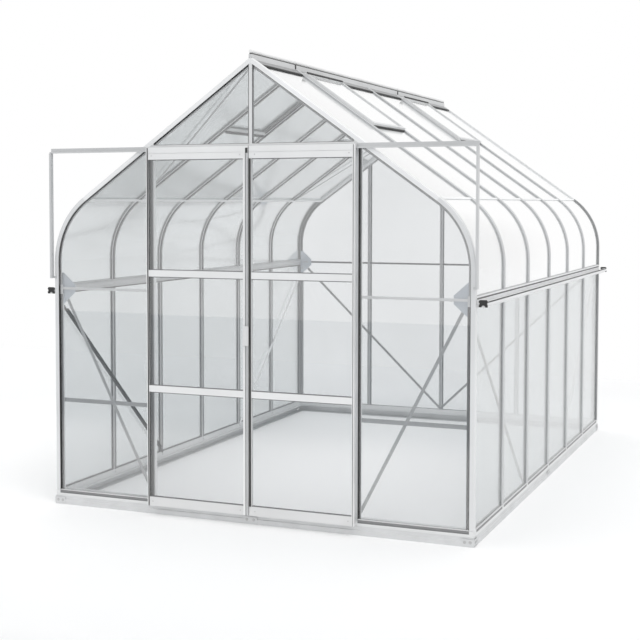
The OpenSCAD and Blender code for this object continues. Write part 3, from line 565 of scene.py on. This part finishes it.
INWARD, OUTWARD = (-1, 0, 0), (1, 0, 0)
REARWARD, FORWARD = (0, 1, 0), (0, -1, 0)
UP_FROM_SLOPE = (SIN_P, 0, COS_P)
DOWN_SLOPE = (COS_P, 0, -SIN_P)
TO_LEFT = Vector((-1, 1, 1))
TO_REAR = Vector((1, -1, 1))


def flipped(lines, flip):
    """Mirror image of the lines across the house's middle."""
    return [([Vector(p) * flip for p in pts], [Vector(n) * flip for n in nrm])
            for pts, nrm in lines]


def house_strips(name, slot, mat, *sets):
    """One piece on both sides of the house; each set is lines with a width and a depth."""
    piece(name, "house", mat, [
        strips(lines + flipped(lines, TO_LEFT), width, depth, mat)
        for lines, width, depth in sets
    ])


def straight(p, q, normal):
    """Straight line with one face direction."""
    return [p, q], [normal, normal]


def along(x, z, y0, y1, normal):
    """Level line along the house."""
    return straight((x, y0, z), (x, y1, z), normal)


def level(x0, x1, y, z):
    """Level line across a gable."""
    return straight((x0, y, z), (x1, y, z), REARWARD)


def upright(x, y, top):
    """Line up a gable from the sill."""
    return straight((x, y, SILL_Z), (x, y, top), REARWARD)


def faced(lines, normal):
    """The lines with another face direction."""
    return [(pts, [normal] * len(pts)) for pts, _ in lines]


def on_slope(s, depth, y):
    """Point on the slope, s above the curved eave and at a depth behind the outer face."""
    return (JOINT_X - s * COS_P - depth * SIN_P, y, JOINT_Z + s * SIN_P - depth * COS_P)


def slope_z(x, inset):
    """Height of the roof's slope, moved in, over a distance from the middle."""
    return PEAK_Z - inset / COS_P - abs(x) * TAN_P


def arc(inset):
    """Turn, x and z of each point on the curved eave, moved in."""
    r = EAVE_R - inset
    for k in range(ARC_STEPS + 1):
        a = ARC_TURN * k / ARC_STEPS
        yield a, ARC_X + r * math.cos(a), SPRING_Z + r * math.sin(a)


def roof_path(depth, y):
    """Line along the curved eave and the slope, at a depth behind the outer face."""
    pts = [(WALL_X - depth, y, EAVE_TOP)]
    nrm = [INWARD]
    for a, x, z in arc(depth):
        pts.append((x, y, z))
        nrm.append((-math.cos(a), 0, -math.sin(a)))
    pts.append(on_slope(RIDGE_L, depth, y))
    nrm.append((-SIN_P, 0, -COS_P))
    return pts, nrm


def gable_path(inset, y, x_stop):
    """Line in a gable along the curved eave and the slope, moved in, up to x_stop."""
    pts = [(WALL_X - inset, y, EAVE_TOP)]
    pts += [(x, y, z) for _, x, z in arc(inset)]
    pts.append((x_stop, y, slope_z(x_stop, inset)))
    return pts, [REARWARD] * len(pts)


def gable_slope(inset, y, x0, x1):
    """Line in a gable along the slope only."""
    return straight((x0, y, slope_z(x0, inset)), (x1, y, slope_z(x1, inset)), REARWARD)


def bar_path(depth, y):
    """The two lines of one bar: up the wall, then over the eave to the ridge."""
    x = WALL_X - depth
    return [straight((x, y, SILL_Z), (x, y, EAVE_Z), INWARD), roof_path(depth, y)]


# Seals and liners of the bars in the long walls and the roof; the strips on the bars' inner faces, sides and
# lower edges carry painted shade, and painted light on the right-hand roof bar sides

THIN = 0.0004
STRIP_EDGE = 0.0004
CAP_SEAL_DEPTH, CAP_SEAL_W = 0.00925, 0.0306
FLANGE_MID, FLANGE_W = 0.020, 0.0118
ROOF_SIDE_DEPTH, ROOF_SIDE_W = 0.0170, 0.0062
ROOF_EDGE_DEPTH, ROOF_EDGE_W = 0.0232, 0.0056
cap_seals, flange_sides, flange_faces, roof_sides, roof_edges = [], [], [], [], []
for y in BAR_LINES:
    cap_seals += bar_path(CAP_SEAL_DEPTH, y)
    flange_faces += bar_path(BAR_D + THIN / 2, y)
    for side in (-1, 1):
        face = (0, side, 0)
        liner_y = y + side * (FLANGE_HALF + THIN / 2)
        cover_y = liner_y + side * THIN
        flange_sides += faced(bar_path(FLANGE_MID, liner_y), face)
        roof_sides += faced([roof_path(ROOF_SIDE_DEPTH, cover_y)], face)
        roof_edges += faced([roof_path(ROOF_EDGE_DEPTH, cover_y)], face)

# Seals and bands of each bay: at the sill, over the eave, at the vents and at the ridge

BAND_D = 0.004
SILL_BAND_W = 0.010
EAVE_SEAL_W, EAVE_SEAL_D = 0.004, 0.007
VENT_SEAL_W, VENT_SEAL_T, VENT_SEAL_DEPTH, VENT_SEAL_IN = 0.008, 0.004, 0.005, 0.005
# Ridge seals are real seals, made wide and dark to also paint the shade under the ridge cap's skirt
RIDGE_SEAL_W, RIDGE_SEAL_T, RIDGE_SEAL_DOWN, RIDGE_SEAL_IN = 0.011, 0.008, 0.006, 0.004
VENT_SILL_W, VENT_SILL_T, VENT_SILL_GAP = 0.022, 0.002, 0.001
wall_y = [-GABLE_Y + POST_SIDE, *BAR_LINES, GABLE_Y - POST_SIDE]
roof_y = [-GABLE_Y + END_BAR, *BAR_LINES, GABLE_Y - END_BAR]
band_x = WALL_X - GLASS_IN - BAND_D / 2
eave_seal_x = WALL_X - GLASS_OUT + EAVE_SEAL_D / 2
sill_bands, eave_seals, ridge_seals, vent_seals, vent_sills = [], [], [], [], []
for i in range(BAYS):
    gap0 = BAR_HALF if i else 0
    gap1 = BAR_HALF if i < BAYS - 1 else 0
    y0, y1 = wall_y[i] + gap0, wall_y[i + 1] - gap1
    sill_bands.append(along(band_x, SILL_Z + SILL_BAND_W / 2, y0, y1, INWARD))
    y0, y1 = roof_y[i] + gap0, roof_y[i + 1] - gap1
    eave_seals.append(along(eave_seal_x, EAVE_TOP + EAVE_SEAL_W / 2, y0, y1, OUTWARD))
    top_s, top_depth = SKIRT_S, GLASS_OUT
    if i in VENT_BAYS:
        top_s, top_depth = VENT_END_S, VENT_FACE
        x, _, z = on_slope(VENT_S - VENT_SEAL_T / 2, VENT_SEAL_DEPTH, 0)
        vent_seals.append(along(x, z, y0 + VENT_SEAL_IN, y1 - VENT_SEAL_IN, DOWN_SLOPE))
        x, _, z = on_slope(VENT_S, GLASS_IN + VENT_SILL_GAP + VENT_SILL_W / 2, 0)
        vent_sills.append(along(x, z, y0, y1, DOWN_SLOPE))
    x, _, z = on_slope(top_s - RIDGE_SEAL_DOWN, top_depth - RIDGE_SEAL_T / 2, 0)
    ridge_seals.append(along(x, z, y0 + RIDGE_SEAL_IN, y1 - RIDGE_SEAL_IN, UP_FROM_SLOPE))

CLIP_W, CLIP_T, CLIP_UP = 0.016, 0.002, 0.004
clip_x = CAP_HALF + CLIP_T / 2
clips = [straight((clip_x, y, SKIRT_TOP_Z + CLIP_UP), (clip_x, y, GROOVE_Z), OUTWARD)
         for y in CAP_JOINTS_Y]

# Seals of the gables: outer ones in the reveal, strips on the posts' inner legs

OUT_W, OUT_D = 0.0025, 0.008
LEG_GAP = 0.00025
ARCH_STRIP = 0.014
FRONT_BAND_W = 0.013
out_y = GABLE_Y - GLASS_OUT + OUT_D / 2
leg_y = GABLE_Y - GLASS_IN - LEG_GAP
band_y = GABLE_Y - GLASS_IN - BAND_D / 2
lip = OUT_W / 2
corner_x = WALL_X - BAR_D - lip
post_x = POST_LIP_X + lip
middle_x = GABLE_BAR_HALF + lip
seal_in = BAR_D + lip
arch_in = BAR_D + ARCH_STRIP / 2
front_out = [
    upright(post_x, -out_y, slope_z(post_x, BAR_D)),
    upright(corner_x, -out_y, EAVE_TOP),
    gable_slope(seal_in, -out_y, JAMB_X, middle_x),
]
front_grey = [
    gable_path(seal_in, -out_y, post_x),
    level(GABLE_BAR_HALF, JAMB_X, -out_y, HEADER_TOP + lip),
    straight((middle_x, -out_y, HEADER_TOP), (middle_x, -out_y, slope_z(middle_x, BAR_D)), REARWARD),
]
# Strips on the arches' inner legs behind the glass are painted shade
arch_strips = [
    gable_path(arch_in, -leg_y, POST_LEG_X),
    gable_path(arch_in, leg_y, BAR_HALF),
    gable_slope(arch_in, -leg_y, JAMB_X, GABLE_BAR_HALF),
]
rear_bar_sides = (BAR_HALF + lip, BAY - BAR_HALF - lip, BAY + BAR_HALF + lip)
rear_out = [upright(x, out_y, slope_z(x, BAR_D)) for x in rear_bar_sides]
rear_out += [
    upright(corner_x, out_y, EAVE_TOP),
    gable_path(seal_in, out_y, BAR_HALF),
    level(BAR_HALF, corner_x, out_y, SILL_Z + lip),
]
# The grey strips on the posts' inner legs are partly a real seal and partly painted shade in the recess
# behind the glass and the doors
door_legs = [upright((POST_LIP_X + POST_LEG_X) / 2, -leg_y, slope_z(POST_LEG_X, BAR_D))]
corner_leg_x = WALL_X - (BAR_D + POST_LEG) / 2
corner_legs = [upright(corner_leg_x, end * leg_y, EAVE_Z) for end in (-1, 1)]
front_band = [level(POST_LEG_X, WALL_X - POST_LEG, -band_y, SILL_Z + FRONT_BAND_W / 2)]
front_foot = [level(post_x, corner_x, -out_y, SILL_Z + lip)]

# Dark glazing lines on the outer faces of the sills

SILL_LINE_DROP = 0.010
FRONT_SILL_LINE, SIDE_SILL_LINE = 0.017, 0.014
line_z = SILL_Z - SILL_LINE_DROP
sill_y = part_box("end_sills")[0].y - HOUSE_Y - THIN / 2
sill_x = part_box("side_sills")[1].x + THIN / 2
front_sill_line = [level(POST_LIP_X, WALL_X - BAR_D, sill_y, line_z)]
side_sill_line = [along(sill_x, line_z, y0 + BAR_HALF, y1 - BAR_HALF, OUTWARD)
                  for y0, y1 in zip(wall_y[:-1], wall_y[1:])]

# Second legs of the side braces, along their upper edges

BRACE_HALF, BRACE_T, BRACE_TOP_Z = 0.009, 0.003, 1.1875
LEG_W, LEG_T = 0.014, 0.002
LEG_SHARES = (0.03, 0.97)
brace_x = WALL_X - BAR_D - BRACE_T - LEG_W / 2
brace_top = Vector((brace_x, -GABLE_Y + POST_SIDE, BRACE_TOP_Z))
brace_foot = Vector((brace_x, 2 * BAY - GRID_Y, SILL_Z))
brace_run = brace_top - brace_foot
leg_up = Vector((0, brace_run.z, -brace_run.y)).normalized()
leg_foot = brace_foot + leg_up * (BRACE_HALF - LEG_T / 2)
front_legs = [straight(*(leg_foot + share * brace_run for share in LEG_SHARES), leg_up)]

# Inner faces of the eave beams with a dark line at the foot; outside, painted shade lines on the eave beams
# and near the top of the gutters

BEAM_FACE_UP, BEAM_FACE_W = 0.031, 0.046
BEAM_LINE_UP, BEAM_LINE_W = 0.004, 0.007
# Painted shade: a dark line on the eave beams' outer faces, and one near the top of the gutters' outer faces
BEAM_SHADE_DROP, BEAM_SHADE_W = 0.013, 0.008
GUTTER_SHADE_DROP, GUTTER_SHADE_W = 0.004, 0.006
GUTTER_Y = 1.878
beam_x = WALL_X - BAR_D - THIN / 2
beam_y = GABLE_Y - END_BAR
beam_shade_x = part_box("eave_beams")[1].x + THIN / 2
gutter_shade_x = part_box("gutters")[1].x - THIN / 2
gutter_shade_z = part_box("gutters")[1].z - GUTTER_SHADE_DROP
beam_face = [along(beam_x, EAVE_Z + BEAM_FACE_UP, -beam_y, beam_y, INWARD)]
beam_line = [along(beam_x, EAVE_Z + BEAM_LINE_UP, -beam_y, beam_y, INWARD)]
beam_shade_line = [along(beam_shade_x, EAVE_TOP - BEAM_SHADE_DROP, -beam_y, beam_y, OUTWARD)]
gutter_shade_line = [along(gutter_shade_x, gutter_shade_z, -GUTTER_Y, GUTTER_Y, OUTWARD)]

# Pieces of the house

house_strips("house_sill_lines", "black_plastic", band_metal,
             (front_sill_line, FRONT_SILL_LINE, THIN), (side_sill_line, SIDE_SILL_LINE, THIN))
house_strips("house_pale_seals", "aluminium", slope_bar_metal,
             (front_band, FRONT_BAND_W, BAND_D), (front_foot, OUT_W, OUT_D))
house_strips("house_seals", "black_plastic", rubber,
             (cap_seals, CAP_SEAL_W, THIN), (ridge_seals, RIDGE_SEAL_W, RIDGE_SEAL_T),
             (vent_seals, VENT_SEAL_W, VENT_SEAL_T), (clips, CLIP_W, CLIP_T),
             (front_out, OUT_W, OUT_D))
house_strips("house_grey_seals", "black_plastic", grey_rubber,
             (rear_out + front_grey, OUT_W, OUT_D),
             (corner_legs, POST_LEG - BAR_D - STRIP_EDGE, THIN),
             (door_legs, POST_LEG_X - POST_LIP_X - STRIP_EDGE, THIN))
house_strips("house_flange_faces", "aluminium", face_metal,
             (flange_faces, 2 * FLANGE_HALF - STRIP_EDGE, THIN))
# The arch strips in this piece are painted shade; the eave seals are real seals
house_strips("house_bar_faces", "aluminium", flange_metal,
             (arch_strips, ARCH_STRIP, THIN), (eave_seals, EAVE_SEAL_W, EAVE_SEAL_D))
house_strips("house_bar_liners", "aluminium", liner_metal, (flange_sides, FLANGE_W, THIN))
house_strips("house_sill_bands", "aluminium", band_metal, (sill_bands, SILL_BAND_W, BAND_D))
house_strips("front_brace_legs", "zinc_steel", brace_leg_metal, (front_legs, LEG_W, LEG_T))
# The rear brace legs take the pale tone of the roof cross bars, which is painted light
house_strips("rear_brace_legs", "zinc_steel", slope_bar_metal,
             (flipped(front_legs, TO_REAR), LEG_W, LEG_T))
house_strips("vent_sills", "aluminium", vent_sill_metal, (vent_sills, VENT_SILL_W, VENT_SILL_T))
house_strips("roof_bar_sides", "aluminium", roof_side_metal, (roof_sides, ROOF_SIDE_W, THIN))
house_strips("roof_bar_edges", "aluminium", roof_edge_metal, (roof_edges, ROOF_EDGE_W, THIN))
house_strips("eave_inner_faces", "aluminium", eave_metal, (beam_face, BEAM_FACE_W, THIN))
# The lines on the gutters and on the eave beams' outer faces in this piece are painted shade
house_strips("eave_lines", "black_plastic", grey_rubber,
             (beam_line, BEAM_LINE_W, THIN), (gutter_shade_line, GUTTER_SHADE_W, THIN), (beam_shade_line, BEAM_SHADE_W, THIN))


# Doors: seals round the panes, strips on the stiles

DOOR_SEAL_D = 0.004
RAIL_SEAL_W = 0.0045
LEFT_STILE_X, RIGHT_STILE_X = (-0.6220, -0.6155), (0.6195, 0.6220)
LEFT_PANE_EDGE_X = (-0.6150, -0.6110)
RIGHT_MEETING_X = (0.0120, 0.0250)
CHANNEL_EDGE_X, CHANNEL_X = (-0.0088, -0.0072), (-0.0070, 0.0052)
ROLLER_STRIP_X, ROLLER_STRIP_Z = (-0.0072, 0.0054), (2.064, 2.092)
BRUSH_X, BRUSH_W, BRUSH_T = -0.6015, 0.019, 0.001
STILE_T, MEETING_T, ROLLER_STRIP_T = 0.0010, 0.0015, 0.0020
CHANNEL_T, CHANNEL_EDGE_T = 0.0012, 0.0014
glass_front_y = -DOOR_FRONT + DOOR_GLASS
glass_back_y = glass_front_y + GLASS_T


def rail_seals(xs):
    """Seals along the rails of a door, above and below each pane, before and behind the glass."""
    made = []
    for y, normal in ((glass_front_y - DOOR_SEAL_D / 2, FORWARD), (glass_back_y + DOOR_SEAL_D / 2, REARWARD)):
        heights = [z for z0, z1 in PANE_Z for z in (z0 + RAIL_SEAL_W / 2, z1 - RAIL_SEAL_W / 2)]
        lines = [straight((xs[0], y, z), (xs[1], y, z), normal) for z in heights]
        made.append(strips(lines, RAIL_SEAL_W, DOOR_SEAL_D, band_metal))
    return made


def stile_strip(xs, z0, z1, thick, mat):
    """Strip up the front of a stile."""
    x = sum(xs) / 2
    y = -DOOR_FRONT - thick / 2
    return strips([straight((x, y, z0), (x, y, z1), FORWARD)], xs[1] - xs[0], thick, mat)


def up_the_panes(x, y, normal):
    """Upright lines over all three panes of a door."""
    return [straight((x, y, z0), (x, y, z1), normal) for z0, z1 in PANE_Z]


def pane_edge(xs, mat):
    """Upright seal on the glass beside a stile."""
    lines = up_the_panes(sum(xs) / 2, glass_front_y - DOOR_SEAL_D / 2, FORWARD)
    return strips(lines, xs[1] - xs[0], DOOR_SEAL_D, mat)


piece("left_door_seals", "left_door", rubber, [
    stile_strip(LEFT_STILE_X, DOOR_FOOT, DOOR_HEAD, STILE_T, rubber),
    stile_strip(CHANNEL_EDGE_X, DOOR_FOOT, MEETING_HEAD, CHANNEL_EDGE_T, rubber),
    stile_strip(ROLLER_STRIP_X, *ROLLER_STRIP_Z, ROLLER_STRIP_T, rubber),
    pane_edge(LEFT_PANE_EDGE_X, rubber),
])
piece("left_door_rail_seals", "left_door", band_metal, rail_seals(LEFT_PANES_X))
piece("right_door_seals", "right_door", rubber, [
    stile_strip(RIGHT_MEETING_X, PANES_FOOT, PANES_HEAD, MEETING_T, rubber),
    stile_strip(RIGHT_STILE_X, DOOR_FOOT, DOOR_HEAD, STILE_T, rubber),
])
piece("right_door_rail_seals", "right_door", band_metal, rail_seals(RIGHT_PANES_X))
brush = up_the_panes(BRUSH_X, glass_back_y + BRUSH_T / 2, REARWARD)
piece("left_door_brush_seal", "left_door", band_metal, [
    strips(brush, BRUSH_W, BRUSH_T, band_metal),
])
piece("left_meeting_channel", "left_door", bar_metal, [
    stile_strip(CHANNEL_X, DOOR_FOOT, MEETING_HEAD, CHANNEL_T, bar_metal),
])


# Bolts and screws

BASE_BOLT_R, FRAME_BOLT_R, BOLT_H, BOLT_WASHER_SHARE = 0.0055, 0.0045, 0.004, 1.55
BASE_BOLT_Z = 0.025
JOINT_BOLT_OFF = 0.021
CORNER_BOLTS_IN = (0.020, 0.050)
EAVE_BOLT_UP, SILL_BOLT_DOWN = 0.028, 0.016
GUSSET_BOLTS = ((0.040, -0.055), (0.040, 0.055), (0.085, 0.0), (0.060, 0.0))
GUSSET_T, EAVE_BAR_HALF = 0.003, 0.007
EAVE_BAR_BOLTS_X, EAVE_BAR_BOLT_IN = (0.730, 1.140), 0.020
SCREW_R, SCREW_H, SCREW_WASHER_SHARE = 0.0025, 0.002, 1.3
SCREWS_Z, SCREW_IN, RAIL_SET = (2.056, 0.083), 0.020, 0.003


def base_bolts():
    """Bolts of the corner plates and of the joint plates in the middle of each length."""
    spots = []
    front_y = -BASE_Y - BASE_PLATE
    for side in (-1, 1):
        face = Vector((side, 0, 0))
        face_x = side * (BASE_X + BASE_PLATE)
        spots += [((face_x, off * JOINT_BOLT_OFF, BASE_BOLT_Z), face) for off in (-1, 1)]
        spots.append(((side * JOINT_BOLT_OFF, front_y, BASE_BOLT_Z), Vector(FORWARD)))
        for d in CORNER_BOLTS_IN:
            spots.append(((side * (BASE_X - d), front_y, BASE_BOLT_Z), Vector(FORWARD)))
            spots += [((face_x, end * (BASE_Y - d), BASE_BOLT_Z), face) for end in (-1, 1)]
    return spots


def frame_bolts():
    """Bolts at the ends of the wall bars, on the gussets and under the front eave bars."""
    spots = []
    for side in (-1, 1):
        inner = Vector((-side, 0, 0))
        inner_x = side * (WALL_X - BAR_D)
        for y in BAR_LINES:
            spots.append(((inner_x, y, EAVE_Z + EAVE_BOLT_UP), inner))
            spots.append(((inner_x, y, SILL_Z - SILL_BOLT_DOWN), inner))
        for end in (-1, 1):
            gusset_y = end * (GABLE_Y - BAR_D - GUSSET_T)
            for dx, dz in GUSSET_BOLTS:
                spot = (side * (WALL_X - dx), gusset_y, EAVE_BAR_Z + EAVE_BAR_HALF + dz)
                spots.append((spot, Vector((0, -end, 0))))
        for x in EAVE_BAR_BOLTS_X:
            spots.append(((side * x, -GABLE_Y + EAVE_BAR_BOLT_IN, EAVE_BAR_Z), Vector((0, 0, -1))))
    return spots


def rail_screws(xs):
    """Screw heads near both ends of a door's top and bottom rails."""
    spots = [((x, -DOOR_FRONT + RAIL_SET, z), Vector(FORWARD))
             for z in SCREWS_Z for x in (xs[0] + SCREW_IN, xs[1] - SCREW_IN)]
    return [bolts(spots, SCREW_R, SCREW_H, SCREW_WASHER_SHARE)]


piece("house_bolts", "house", bolt_steel, [
    bolts(base_bolts(), BASE_BOLT_R, BOLT_H, BOLT_WASHER_SHARE),
    bolts(frame_bolts(), FRAME_BOLT_R, BOLT_H, BOLT_WASHER_SHARE),
])
piece("left_door_screws", "left_door", bolt_steel, rail_screws(LEFT_PANES_X))
piece("right_door_screws", "right_door", bolt_steel, rail_screws(RIGHT_PANES_X))


# Floor: white round the house, pale grey far in front of the doors, which the glass mirrors

FLOOR_FRONT, FLOOR_REAR, FLOOR_SIDE = -13.7, 5.0, 2.2
FLOOR_FAR, REAR_FAR = 40.0, 25.0
FADE_ROUND, FADE_FRONT = (2.6, 4.4), (-3.8, -5.0)
NEAR_WHITE, FAR_WHITE, FRONT_GREY = grey(0.98), grey(0.895), (0.50, 0.53, 0.55)
FLOOR_ROUGH, FLOOR_SHEEN = 0.6, 0.1


def fade_over(tree, value, near, far):
    """Smooth step from 0 at near to 1 at far."""
    fade = tree.nodes.new("ShaderNodeMapRange")
    fade.interpolation_type = "SMOOTHSTEP"
    fade.inputs["From Min"].default_value = near
    fade.inputs["From Max"].default_value = far
    tree.links.new(value, fade.inputs["Value"])
    return fade.outputs["Result"]


def floor_paint():
    """White near the house, a little less farther out, pale grey in front."""
    mat, tree, out = shader("studio_floor")
    body = tree.nodes.new("ShaderNodeBsdfPrincipled")
    coords = tree.nodes.new("ShaderNodeTexCoord")
    split = tree.nodes.new("ShaderNodeSeparateXYZ")
    reach = tree.nodes.new("ShaderNodeVectorMath")
    reach.operation = "LENGTH"
    tree.links.new(coords.outputs["Object"], split.inputs["Vector"])
    tree.links.new(coords.outputs["Object"], reach.inputs[0])
    outward = fade_over(tree, reach.outputs["Value"], *FADE_ROUND)
    forward = fade_over(tree, split.outputs["Y"], *FADE_FRONT)
    round_house = blend_colour(tree, outward, NEAR_WHITE, FAR_WHITE)
    tone = blend_colour(tree, forward, NEAR_WHITE, FRONT_GREY)
    tree.links.new(round_house, tone.node.inputs["A"])
    tree.links.new(tone, body.inputs["Base Color"])
    body.inputs["Roughness"].default_value = FLOOR_ROUGH
    body.inputs["Specular IOR Level"].default_value = FLOOR_SHEEN
    tree.links.new(body.outputs["BSDF"], out.inputs["Surface"])
    return mat


floor_mesh = bpy.data.meshes.new("floor")
floor_mesh.from_pydata([
    (-FLOOR_FAR, FLOOR_FRONT, 0), (FLOOR_FAR, FLOOR_FRONT, 0), (FLOOR_FAR, REAR_FAR, 0),
    (FLOOR_SIDE, REAR_FAR, 0), (FLOOR_SIDE, FLOOR_REAR, 0), (-FLOOR_FAR, FLOOR_REAR, 0),
], [], [(0, 1, 2, 3, 4, 5)])
floor = bpy.data.objects.new("floor", floor_mesh)
floor_mesh.materials.append(floor_paint())
bpy.context.scene.collection.objects.link(floor)


# Light and camera

SKY_LIGHT, SKY_SEEN = (0.97, 0.975, 0.98), (1, 1, 1)
KEY_POWER, KEY_SPREAD, KEY_TILT, KEY_TURN = 0.7, math.radians(50), math.radians(42), math.radians(38)
CAMERA_AT = (2.9604, -8.3500, 1.7881)
CAMERA_DIP, CAMERA_TURN = 0.0531, 0.4044
CAMERA_LENS, CAMERA_SENSOR = 72.51, 36.0
CAMERA_SHIFT_X, CAMERA_SHIFT_Y = 0.0599, -0.0752


def studio_sky():
    """World that lights softly and is white where the camera, metal or glass sees it."""
    world = bpy.data.worlds.new("studio")
    world.use_nodes = True
    tree = world.node_tree
    tree.nodes.clear()
    path = tree.nodes.new("ShaderNodeLightPath")
    seen_once = tree.nodes.new("ShaderNodeMath")
    seen_once.operation = "ADD"
    seen = tree.nodes.new("ShaderNodeMath")
    seen.operation = "ADD"
    seen.use_clamp = True
    light = tree.nodes.new("ShaderNodeBackground")
    out = tree.nodes.new("ShaderNodeOutputWorld")
    tree.links.new(path.outputs["Is Camera Ray"], seen_once.inputs[0])
    tree.links.new(path.outputs["Is Glossy Ray"], seen_once.inputs[1])
    tree.links.new(seen_once.outputs[0], seen.inputs[0])
    tree.links.new(path.outputs["Is Transmission Ray"], seen.inputs[1])
    tree.links.new(blend_colour(tree, seen.outputs[0], SKY_LIGHT, SKY_SEEN), light.inputs["Color"])
    tree.links.new(light.outputs["Background"], out.inputs["Surface"])
    return world


bpy.context.scene.world = studio_sky()

key = bpy.data.lights.new("key", "SUN")
key.energy = KEY_POWER
key.angle = KEY_SPREAD
key_obj = bpy.data.objects.new("key", key)
key_obj.rotation_euler = (KEY_TILT, 0, KEY_TURN)
bpy.context.scene.collection.objects.link(key_obj)

camera = bpy.data.cameras.new("camera")
camera.lens = CAMERA_LENS
camera.sensor_width = CAMERA_SENSOR
camera.shift_x = CAMERA_SHIFT_X
camera.shift_y = CAMERA_SHIFT_Y
camera_obj = bpy.data.objects.new("camera", camera)
camera_obj.location = CAMERA_AT
camera_obj.rotation_euler = (math.pi / 2 - CAMERA_DIP, 0, CAMERA_TURN)
bpy.context.scene.collection.objects.link(camera_obj)
bpy.context.scene.camera = camera_obj
bpy.context.scene.view_settings.view_transform = "Standard"
